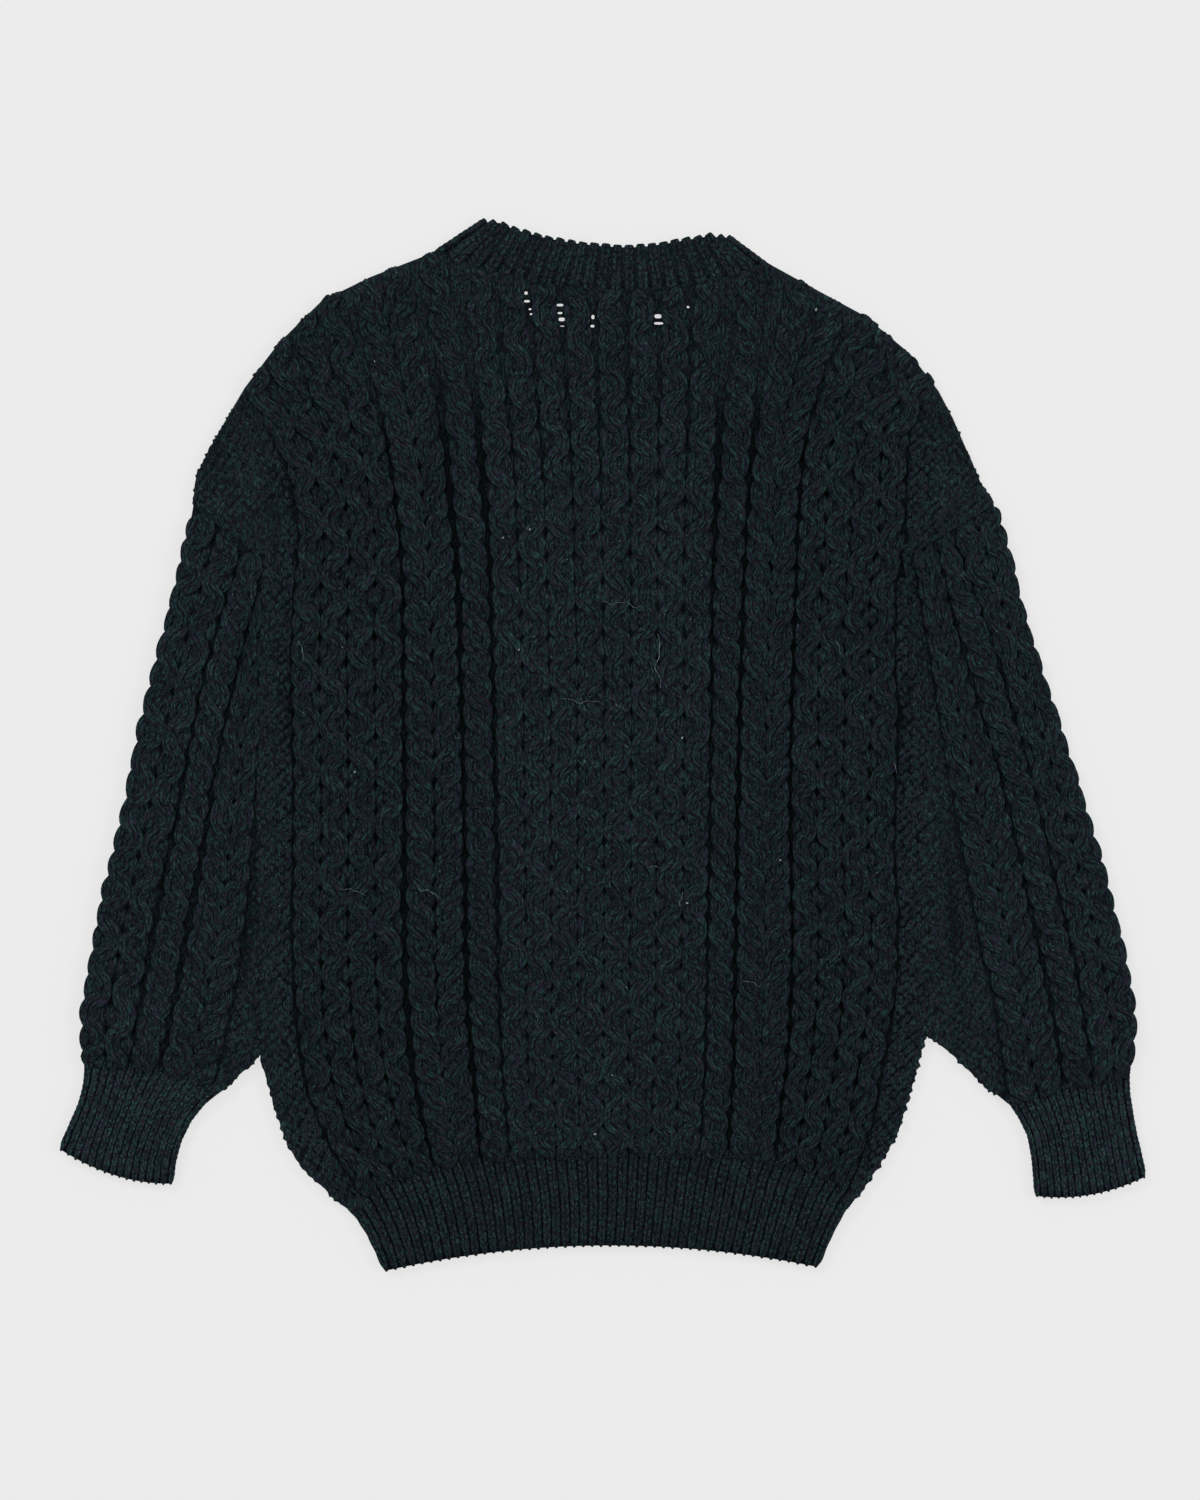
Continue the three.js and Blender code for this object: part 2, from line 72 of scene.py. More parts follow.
BODY = table(
    "leftX   leftY   rightX  rightY  backBow frontBow crown",
    "-166.1  -300.3  166.0   -292.5  30.6    30.6     4.0",
    "-179.1  -289.2  175.1   -279.5  27.3    27.3     3.4",
    "-194.1  -275.6  183.6   -265.9  22.1    22.1     2.8",
    "-204.5  -259.4  190.7   -253.5  18.2    18.2     2.4",
    "-211.6  -239.8  197.2   -233.3  15.6    15.6     2.2",
    "-217.5  -219.1  203.7   -210.6  13.0    13.0     2.0",
    "-222.7  -200.2  210.2   -186.6  10.4    10.4     2.0",
    "-223.6  -141.0  212.9   -128.2  5.2     5.2      2.0",
    "-224.5  -85.0   215.3   -75.7   2.0     2.0      2.0",
    "-225.3  -35.1   217.4   -28.6   0.0     0.0      2.0",
    "-225.0  -24.0   216.0   -19.2   0.0     0.0      2.0",
    "-223.6  32.0    207.4   39.1    0.0     -0.5     2.0",
    "-222.4  81.9    201.1   81.9    0.0     -2.0     2.0",
    "-221.4  120.9   195.3   120.9   0.0     -5.2     2.0",
    "-244.8  139.4   225.8   139.4   0.0     -9.8     2.0",
    "-264.3  154.9   251.2   154.8   -0.7    -16.2    2.0",
    "-268.2  158.0   256.4   158.0   -0.7    -18.2    2.0",
    "-266.2  175.5   247.3   172.9   -1.3    -26.0    2.0",
    "-257.8  192.4   237.5   194.3   -2.6    -35.1    2.0",
    "-247.4  210.6   229.1   213.2   -3.9    -45.5    2.1",
    "-233.7  233.3   219.3   231.4   -5.2    -56.6    2.1",
    "-211.6  261.9   200.5   255.5   -8.5    -71.5    2.2",
    "-183.0  289.9   170.6   280.2   -13.0   -86.5    2.2",
    "-151.2  305.5   139.4   297.1   -16.9   -93.0    2.2",
    "-107.6  322.4   107.5   314.6   -20.8   -98.2    2.2",
)
ARM_ROWS = (9, 16)    # the armhole edge runs between these rows; the other side edges are folds

NECK = {"leftX": -75.8, "leftY": 342.6, "rightX": 81.5, "rightY": 331.5,
        "backBow": -12.3, "frontBow": -84.0, "crown": 2.2, "frontCrown": 3.2}

SLEEVE_OPEN = 4
SLEEVE_LEFT = table(
    "outerX  outerY  innerX  innerY  bow crown",
    "-268.2  158.0   -221.4  120.9   0.0 2",
    "-273.4  127.4   -222.4  81.9    0.0 2",
    "-281.8  91.7    -223.4  42.9    0.0 2",
    "-292.9  48.1    -224.3  3.9     0.0 2",
    "-303.9  3.9     -225.3  -35.1   0.0 2",
    "-311.1  -35.1   -224.6  -79.0   0.0 2",
    "-319.4  -72.8   -224.0  -118.3  0.0 2",
    "-328.6  -109.2  -223.3  -159.9  0.0 2",
    "-334.5  -139.1  -222.7  -200.2  0.0 2",
    "-339.2  -166.4  -230.5  -208.0  2.0 2",
    "-339.7  -187.8  -238.9  -215.8  3.2 2",
    "-337.7  -208.7  -247.4  -223.6  4.5 2",
)
SLEEVE_RIGHT = table(
    "outerX outerY  innerX innerY  bow crown",
    "256.4  158.0   195.3  120.9   0.0 2",
    "264.8  127.4   201.1  81.9    0.0 2",
    "273.9  88.4    206.8  42.9    0.0 2",
    "285.0  52.6    212.8  2.6     0.0 2",
    "297.3  15.6    217.4  -28.6   0.0 2",
    "309.0  -22.1   215.6  -68.9   0.0 2",
    "319.4  -54.6   213.9  -106.5  0.0 2",
    "328.5  -87.1   212.1  -145.8  0.0 2",
    "336.3  -119.6  210.2  -186.6  0.0 2",
    "343.5  -148.8  229.1  -201.5  0.0 2",
    "347.4  -182.7  247.3  -219.1  0.0 2",
    "343.5  -213.2  264.2  -232.7  0.0 2",
)
CUFF_LEFT = table(
    "outerX  outerY  innerX  innerY  bow  crown",
    "-337.7  -209.3  -247.4  -224.2  4.5  2",
    "-338.4  -219.7  -257.8  -232.7  2.6  2",
    "-341.6  -232.1  -266.9  -243.8  0.0  2",
    "-347.5  -245.7  -273.4  -256.8  -2.6 2",
    "-351.4  -254.2  -277.3  -271.1  -4.5 2",
    "-354.6  -261.3  -278.6  -284.7  -6.5 2",
)
CUFF_RIGHT = table(
    "outerX outerY  innerX innerY  bow  crown",
    "343.5  -213.8  264.2  -233.3  0.0  2",
    "343.5  -224.2  270.0  -241.8  -1.3 2",
    "345.4  -237.2  275.9  -253.5  -2.6 2",
    "348.0  -251.6  278.5  -267.2  -3.9 2",
    "351.3  -265.2  279.8  -280.2  -5.2 2",
    "354.5  -279.5  280.4  -292.5  -5.9 2",
)
HEM = table(
    "outerX  outerY  innerX  innerY  bow  crown",
    "-166.1  -301.1  166.0   -293.3  30.6 4.0",
    "-159.6  -308.8  159.5   -300.9  27.3 3.4",
    "-153.1  -319.2  153.7   -310.7  23.4 2.8",
    "-147.9  -330.2  147.8   -323.1  19.5 2.3",
    "-143.4  -341.9  141.3   -339.3  15.6 2.0",
)

# Where the lines between cable panels run: x at each height on the body.
BODY_LINES = table(
    "y        mossL   shoeL   ropeL   midL    mid1    mid2    mid3    mid4    mid5    mid6    mid7    midR    ropeR   shoeR   mossR",
    "  325.0  -261.6  -171.1  -124.2  -100.4   -70.0   -52.6   -31.3    -8.5    13.6    34.2    53.2    85.5   113.0   181.7   268.7",
    "  300.0  -254.7  -166.9  -121.2   -95.4   -68.7   -49.8   -29.0    -6.9    14.5    35.3    54.8    82.7   112.3   170.3   254.4",
    "  280.0  -249.2  -163.4  -118.3   -91.6   -67.6   -47.6   -27.2    -5.6    15.3    36.3    56.1    80.5   110.8   161.1   242.9",
    "  262.0  -244.2  -159.2  -115.1   -88.4   -66.5   -45.7   -25.6    -4.5    15.9    37.0    57.1    78.8   108.4   153.5   232.5",
    "  245.0  -238.5  -154.0  -112.0   -85.0   -64.5   -44.0   -24.5    -3.8    16.5    36.8    56.5    77.5   105.0   146.0   222.3",
    "  225.0  -229.2  -148.6  -107.0   -81.0   -62.2   -42.0   -23.1    -3.0    17.2    36.7    55.8    76.3   102.0   139.4   209.6",
    "  205.0  -217.3  -142.3  -104.5   -79.5   -60.2   -40.4   -21.9    -2.2    17.6    36.7    54.8    75.4    99.5   133.4   199.4",
    "  185.0  -206.2  -138.7  -101.8   -78.0   -58.2   -38.9   -20.7    -1.5    17.8    36.5    53.9    74.7    97.0   130.1   197.2",
    "  160.0  -199.3  -135.0   -99.8   -76.1   -55.7   -37.4   -19.2    -1.0    17.8    36.0    52.9    73.7    94.8   127.8   196.6",
    "  135.0  -196.8  -131.8   -96.7   -74.2   -54.8   -36.7   -18.6    -0.5    18.0    36.0    53.0    72.5    93.0   126.9   196.6",
    "  105.0  -200.1  -130.4   -94.5   -72.1   -53.8   -35.9   -17.8     0.1    18.2    35.9    53.1    71.1    91.8   125.8   190.3",
    "   60.0  -202.4  -130.0   -92.9   -71.0   -52.3   -34.6   -16.6     1.0    18.6    35.9    53.3    70.8    90.4   124.3   189.4",
    "   20.0  -201.6  -129.6   -91.8   -70.2   -51.2   -33.7   -15.9     1.5    18.8    35.7    53.3    70.5    89.1   122.9   192.2",
    "  -25.0  -200.5  -129.2   -90.6   -69.1   -51.0   -33.7   -16.2     1.1    18.3    35.4    52.8    70.0    88.1   122.1   190.0",
    "  -70.0  -200.8  -129.7   -89.9   -68.2   -50.8   -33.6   -16.4     0.8    17.9    35.1    52.3    69.2    87.4   122.4   188.9",
    " -110.0  -201.7  -130.2   -89.2   -67.5   -50.3   -33.3   -16.4     0.7    17.6    34.6    51.6    68.3    86.7   123.4   191.6",
    " -150.0  -200.7  -129.2   -88.5   -66.8   -49.8   -33.1   -16.3     0.5    17.3    34.1    50.8    67.4    86.0   122.8   190.8",
    " -180.0  -198.8  -127.2   -87.1   -66.3   -49.5   -32.9   -16.2     0.4    17.0    33.7    50.3    66.8    85.4   121.7   187.4",
    " -205.0  -195.7  -125.0   -84.8   -65.1   -48.8   -32.4   -16.0     0.5    16.9    33.3    49.7    66.2    85.0   119.7   182.7",
    " -225.0  -191.4  -121.0   -83.0   -63.4   -47.5   -31.5   -15.4     0.7    16.8    32.9    48.9    65.5    84.3   117.1   178.9",
    " -245.0  -182.9  -116.6   -81.2   -61.8   -46.3   -30.5   -14.8     1.0    16.7    32.5    48.2    64.1    82.6   114.5   175.0",
    " -262.0  -174.8  -112.0   -79.6   -60.4   -45.2   -29.7   -14.3     1.2    16.6    32.1    47.5    62.9    81.2   112.3   169.1",
    " -280.0  -163.6  -106.9   -77.1   -58.9   -44.1   -28.9   -13.8     1.4    16.6    31.7    46.9    61.7    79.4   109.8   163.0",
    " -296.0  -155.0  -102.4   -75.0   -57.6   -43.1   -28.1   -13.3     1.6    16.5    31.4    46.2    60.6    77.8   107.5   156.5",
)

# The same on the sleeves, in a frame that runs along each arm: s goes up the arm and the lines
# are places across it. lean is how far the arm's own up direction leans, in degrees.
LEFT_LEAN, RIGHT_LEAN = 11.74, -13.5
SLEEVE_LEFT_LINES = table(
    "s         outer    honey     rope     shoe    inner",
    "  105.0   -294.9   -252.1   -237.1   -239.2   -247.1",
    "   80.0   -294.0   -255.1   -238.5   -235.7   -242.6",
    "   50.0   -294.1   -258.6   -240.1   -231.6   -237.1",
    "   20.0   -295.1   -262.1   -241.2   -227.4   -231.7",
    "  -10.0   -296.4   -264.1   -242.2   -223.2   -226.3",
    "  -40.0   -297.6   -263.5   -243.1   -219.0   -220.7",
    "  -70.0   -298.1   -263.2   -242.0   -214.9   -215.3",
    " -100.0   -297.5   -262.5   -240.5   -210.7   -209.0",
    " -130.0   -297.8   -263.0   -239.0   -206.9   -202.3",
    " -160.0   -298.9   -263.2   -238.3   -203.7   -195.6",
    " -190.0   -299.3   -261.9   -238.1   -201.5   -188.8",
    " -215.0   -298.8   -260.9   -237.9   -200.6   -183.2",
    " -240.0   -296.8   -260.0   -238.0   -201.0   -177.6",
    " -262.0   -291.6   -259.2   -238.5   -202.2   -191.5",
    " -285.0   -284.5   -258.4   -239.1   -203.5   -208.0",
)
SLEEVE_RIGHT_LINES = table(
    "s         outer    honey     rope     shoe    inner",
    "  105.0    285.8    250.5    241.1    227.2    221.0",
    "   80.0    286.6    253.6    241.3    225.3    218.8",
    "   50.0    287.1    257.3    241.6    223.0    216.2",
    "   20.0    287.1    261.0    241.9    220.6    213.5",
    "  -10.0    289.1    264.3    242.2    218.3    210.8",
    "  -40.0    291.5    265.1    243.7    216.0    208.2",
    "  -70.0    293.8    266.6    246.8    213.7    205.5",
    " -100.0    295.8    267.0    246.2    212.1    198.5",
    " -130.0    297.9    266.5    246.7    210.4    189.9",
    " -160.0    299.0    265.8    245.7    209.2    181.2",
    " -190.0    299.1    266.8    245.1    207.9    172.6",
    " -215.0    299.2    266.5    244.1    208.6    165.3",
    " -240.0    297.4    263.9    242.8    206.2    168.3",
    " -262.0    293.9    261.5    241.7    204.1    183.7",
    " -290.0    283.3    258.5    240.2    201.5    204.2",
)

# How far the knitting has been pulled up (+) or down (-) in each cable column, in mm, at heights
# up the body and along each arm. The crossings move with it.
BODY_PULL = table(
    "y     c0     c1     c2     c3     c4     c5     c6     c7     c8     c9     c10    c11    c12    c13    c14    c15    c16    c17    c18    c19    c20    c21   ",
    "  -260   -8.9   -10.2   -11.1   -10.4   -14.6    -9.6    -9.6    -4.0    -4.2    -3.4    -3.3    -4.2    -5.0    -6.2    -5.5    -9.2    -5.4   -11.6    -8.0    -7.3   -10.8   -10.4",
    "  -230   -9.0   -10.1   -11.0   -10.5   -13.8    -7.8    -8.9    -3.8    -3.0    -2.1    -1.8    -3.1    -4.4    -4.9    -3.9    -7.5    -4.3   -10.0    -8.1    -7.4   -10.0    -9.8",
    "  -200   -9.8   -10.6   -10.8   -10.8   -12.7    -6.5    -8.0    -2.4    -1.7    -0.7    -0.5    -1.6    -3.1    -2.9    -1.5    -5.2    -3.0    -9.0    -7.6    -7.5   -10.0   -10.3",
    "  -170  -10.8   -11.6   -10.8   -10.8   -11.5    -6.0    -7.3    -1.5    -0.7     0.3     0.3    -0.5    -1.5    -1.5    -0.3    -3.3    -2.5    -8.5    -7.0    -7.9   -11.1   -12.2",
    "  -140  -11.4   -12.0   -11.1   -10.9   -10.8    -6.1    -7.2    -1.5    -0.2     0.7     0.9     0.7    -0.0    -0.5    -0.3    -2.1    -2.5    -8.0    -7.5    -9.4   -13.1   -14.2",
    "  -110  -10.9   -11.7   -11.5   -11.2   -10.2    -6.6    -7.1    -1.6     0.0     0.8     1.1     1.4     1.2     0.5     0.0    -1.9    -2.5    -7.9    -8.9   -11.2   -14.9   -15.7",
    "   -80   -9.9   -10.7   -11.2   -11.2    -9.2    -7.0    -7.0    -1.4     0.0     1.3     1.6     1.9     2.1     1.7     0.8    -1.9    -2.5    -8.0   -10.0   -12.3   -15.5   -16.6",
    "   -50   -9.2    -9.6    -9.9   -10.2    -8.5    -6.8    -6.0    -0.7     0.2     2.0     2.6     3.1     3.2     2.9     1.8    -1.7    -2.3    -7.3   -10.9   -13.0   -15.7   -16.9",
    "   -20   -8.8    -9.3    -9.3    -9.1    -8.0    -6.2    -4.5    -0.1     0.7     2.8     3.7     4.4     4.4     3.7     2.6    -1.2    -2.2    -5.5   -12.0   -13.6   -16.0   -17.0",
    "    10   -9.4    -9.9   -10.0    -9.4    -7.8    -5.7    -3.7     0.5     1.5     3.9     4.7     5.4     5.4     4.3     3.2    -0.5    -2.0    -4.4   -13.5   -14.5   -16.3   -16.9",
    "    40  -10.7   -10.9   -10.9   -10.4    -8.0    -5.0    -3.4     1.6     2.6     5.2     5.8     6.5     6.5     5.2     4.4     0.5    -1.1    -3.6   -15.3   -16.0   -17.5   -18.0",
    "    70  -11.4   -11.4   -10.8   -10.3    -7.8    -3.7    -2.8     2.9     4.2     6.5     7.2     7.7     7.8     6.7     6.1     2.2     0.4    -1.8   -16.1   -17.0   -20.3   -20.6",
    "   100  -11.3   -10.9    -9.9    -8.8    -6.2    -2.1    -1.5     4.8     6.1     7.8     8.5     8.6     9.1     8.4     8.1     4.5     2.7     0.3   -15.5   -16.7   -23.0   -22.5",
    "   130  -11.1   -10.1    -8.3    -6.8    -3.6    -0.3     0.4     7.0     8.0     9.1     9.8    10.0    10.6    10.2    10.0     6.6     5.2     2.1   -15.0   -16.2   -23.6   -23.0",
    "   160  -11.1    -9.8    -7.3    -5.7    -1.5     1.6     2.5     8.8     9.4     9.9    10.5    11.2    12.0    11.9    11.7     8.7     7.5     3.7   -15.0   -16.2   -23.2   -23.2",
    "   190  -10.8    -9.6    -7.2    -5.7     0.3     3.2     4.7     9.8    10.2     9.9    10.6    11.7    12.7    13.0    12.8    11.4     9.7     5.2   -15.0   -16.2   -22.8   -23.2",
    "   220  -10.4    -9.5    -7.2    -5.9     1.9     4.0     6.2    10.2    10.4     9.9    10.6    11.7    12.5    13.2    13.5    13.1    11.4     5.6   -15.0   -16.2   -22.7   -22.8",
    "   250  -10.8    -9.6    -7.2    -5.9     2.6     4.1     6.2    10.4    10.4    10.2    10.9    11.7    12.3    13.0    13.7    13.0    11.8     5.0   -15.0   -16.2   -22.8   -22.8",
    "   280  -11.1    -9.8    -7.2    -5.9     2.6     3.9     5.9    10.4    10.4    10.4    11.1    11.7    12.3    13.0    13.7    12.5    11.8     4.5   -15.0   -16.2   -23.0   -23.0",
    "   310  -11.1    -9.8    -7.2    -5.9     2.6     3.9     5.9    10.4    10.4    10.4    11.1    11.7    12.3    13.0    13.7    12.5    11.8     4.5   -15.0   -16.2   -23.0   -23.0",
)
SLEEVE_LEFT_PULL = table(
    "s     c0      c1      c2      c3      c4     ",
    "  -250    2.6     3.6     0.3     1.0    -1.4",
    "  -220    2.5     3.2    -0.5    -1.2    -2.8",
    "  -190    1.6     1.7    -2.1    -3.3    -4.3",
    "  -160    1.5     1.1    -2.5    -3.8    -4.5",
    "  -130    2.1     1.5    -1.9    -4.2    -4.3",
    "  -100    4.4     3.9    -0.5    -2.5    -2.1",
    "   -70    7.9     6.5     2.1     2.5     3.1",
    "   -40   10.7     9.7     4.7     4.0     4.4",
    "   -10   14.4    13.6     7.8     6.6     6.4",
    "    20   17.4    17.0    10.6    10.9    10.0",
    "    50   15.6    16.2    11.5    12.4    11.8",
    "    80   12.6    13.3    11.5    11.8    12.0",
)
SLEEVE_RIGHT_PULL = table(
    "s     c0      c1      c2      c3      c4     ",
    "  -250   -0.5     0.2    -1.1    -1.8    -1.8",
    "  -220   -0.6     0.1    -1.2    -2.1    -2.1",
    "  -190    0.0     0.0    -2.0    -2.4    -2.3",
    "  -160    0.7     0.0    -1.5    -1.9    -1.7",
    "  -130    1.5     0.7    -0.5    -1.4    -1.2",
    "  -100    3.4     2.9     0.7    -1.3    -1.3",
    "   -70    7.0     5.9     2.7     0.6     0.5",
    "   -40   11.1     9.3     5.2     2.9     2.8",
    "   -10   15.2    12.8     7.7     5.8     5.7",
    "    20   16.7    14.8     9.3     8.7     8.6",
    "    50   16.4    15.6     8.9    11.6    11.3",
    "    80   16.5    16.1     8.2    11.9    11.4",
)

# Dropped stitches below the neck seam: ladders of small holes right through the back.
HOLES = table(
    "x      y      wide  high",
    "-49.8  294.5  2.2   2.4",
    "-49.2  289.2  3.9   1.9",
    "-47.2  284.0  1.8   1.6",
    "-46.5  280.8  1.8   1.5",
    "-27.7  286.7  4.5   2.0",
    "-27.7  281.5  3.2   1.7",
    "-26.6  277.4  4.2   2.7",
    "-26.2  273.0  2.8   0.9",
    "-6.3   278.9  2.0   3.0",
    "-6.6   273.0  2.6   2.0",
    "36.0   279.4  4.6   3.0",
    "36.4   274.8  6.2   1.9",
    "55.5   285.4  1.9   1.7",
)

# Loose curly fibre on the upper layer: its two ends, how far it wanders, its turns and half its
# thickness, and then the small pale flecks.
CURLS = table(
    "ax      ay      bx      by      wave turns thick",
    "35.4    73.5    37.3    37.7    2.0  1.2   0.20",
    "-26.4   30.6    1.6     27.3    1.3  1.5   0.16",
    "6.1     31.2    15.2    22.1    1.0  1.0   0.16",
    "-121.9  -89.7   -105.0  -99.5   1.5  1.2   0.17",
    "-172.0  -91.0   -153.8  -96.9   1.2  1.0   0.16",
    "-196.7  68.2    -194.1  55.9    1.0  0.8   0.18",
    "188.8   -10.4   191.4   -20.2   0.8  0.7   0.18",
    "51.6    -94.9   50.3    -104.0  0.8  0.8   0.16",
    "25.0    -74.8   38.0    -80.0   1.3  1.1   0.17",
    "-0.4    94.2    24.3    90.4    1.4  1.4   0.16",
    "-88.8   150.8   -81.0   142.3   0.9  0.9   0.15",
    "90.6    -152.1  102.3   -156.0  1.1  1.0   0.15",
    "-44.6   -171.6  -40.7   -184.6  1.0  1.1   0.15",
    "151.1   68.9    155.6   59.1    0.8  0.8   0.15",
)
FLECKS = table(
    "x       y       wide long turn",
    "-4.9    -251.6  1.4  2.2  20",
    "6.1     -213.8  1.1  1.7  70",
    "54.9    -102.0  1.4  1.8  10",
    "-54.3   62.4    1.2  1.8  40",
    "-17.9   55.9    1.1  1.7  120",
    "51.6    5.2     1.2  2.1  60",
    "115.3   -74.1   1.1  1.7  150",
    "-160.9  -16.9   1.2  1.8  35",
    "-47.2   140.4   1.1  1.7  90",
    "-64.7   135.2   1.1  1.5  15",
    "-108.3  243.1   1.2  2.0  50",
    "-147.9  249.6   1.1  1.8  130",
    "138.7   283.4   1.7  2.5  75",
)

# Swells and creases of the upper layer. reach runs along the fold and spread across it, turn is
# its direction from +X in degrees, and lift is its height (+) or depth (-).
FOLDS = table(
    "x     y     reach spread turn lift",
    "0     -262  190   22     0    5.0",    # fullness above the hem
    "-186  -255  46    20     -58  4.0",
    "176   -248  46    20     62   4.0",
    "-295  -190  52    18     -12  5.0",    # fullness above the cuffs
    "308   -196  52    18     -14  5.0",
    "-196  150   80    20     74   3.0",    # beside the armholes
    "176   150   80    20     104  3.0",
    "-268  90    60    18     70   2.5",
    "258   90    60    18     110  2.5",
)

# Softer, smaller unevenness, given one by one: the same columns.
CREASES = table(
    "x     y     reach spread turn lift",
    "-150  -268  34    11     14   1.6",
    "-95   -262  30    12     6    -1.3",
    "-40   -256  36    10     2    1.5",
    "22    -258  30    11     -3   -1.2",
    "78    -261  34    10     -8   1.6",
    "130   -268  30    11     -14  -1.1",
    "-120  -236  60    16     10   -1.2",
    "60    -232  70    18     -6   -1.0",
    "-60   -150  90    26     80   0.9",
    "96    -60   110   28     96   1.0",
    "-140  20    120   30     86   1.1",
    "30    110   100   34     60   0.9",
    "-90   190   70    26     35   1.0",
    "120   200   64    24     -42  1.1",
    "196   30    90    10     83   -1.8",
    "-210  60    90    11     96   -1.5",
    "-262  -60   110   14     76   1.6",
    "-300  -40   120   16     78   -1.0",
    "272   -60   120   14     104  1.6",
    "306   -90   120   16     103  -1.0",
    "-272  -176  34    9      -24  1.5",
    "191   142   46    10     100  -3.4",
    "-203  166   46    15     80   -3.0",
    "-318  -170  30    9      12   -1.4",
    "286   -186  34    9      30   1.5",
    "330   -176  28    9      -20  -1.3",
    "-296  -214  46    8      -10  -1.6",
    "306   -222  46    8      12   -1.6",
    "-231  -116  45    6      83   -2.6",
    "-232  65    56    6      80   -2.6",
    "-238  -60   40    7      84   -1.8",
    "226   74    52    6      99   -2.6",
    "231   -40   48    6      96   -2.6",
    "228   -120  46    6      92   -2.2",
)


def swell(P):
    z = np.zeros(len(P))
    for t in (FOLDS, CREASES):
        for x, y, reach, spread, turn, lift in zip(*(t[k] for k in ("x", "y", "reach", "spread", "turn", "lift"))):
            a = math.radians(turn)
            dx, dy = P[:, 0] - x, P[:, 1] - y
            z += lift * np.exp(-((dx * math.cos(a) + dy * math.sin(a)) / reach) ** 2
                               - ((-dx * math.sin(a) + dy * math.cos(a)) / spread) ** 2)
    return z


# ---- pieces of cloth: outline, folds and free edges ----
def polyline(t, x, y, a=0, b=None):
    return np.c_[t[x], t[y]][a:b]


def bowed(ax, ay, bx, by, bow, crown, u):
    u = np.asarray(u, float)
    return np.c_[ax + (bx - ax) * u, ay + (by - ay) * u + bow * (1 - np.abs(2 * u - 1) ** crown)]


def section(t, j, u, names=("outerX", "outerY", "innerX", "innerY", "bow")):
    """Points across row j, which may lie between two rows of the table."""
    k = np.arange(len(t[names[0]]))
    ax, ay, bx, by, bow = (np.interp(j, k, t[n]) for n in names)
    return bowed(ax, ay, bx, by, bow, np.interp(j, k, t["crown"]), u)


BACK_NAMES = ("leftX", "leftY", "rightX", "rightY", "backBow")
FRONT_NAMES = ("leftX", "leftY", "rightX", "rightY", "frontBow")


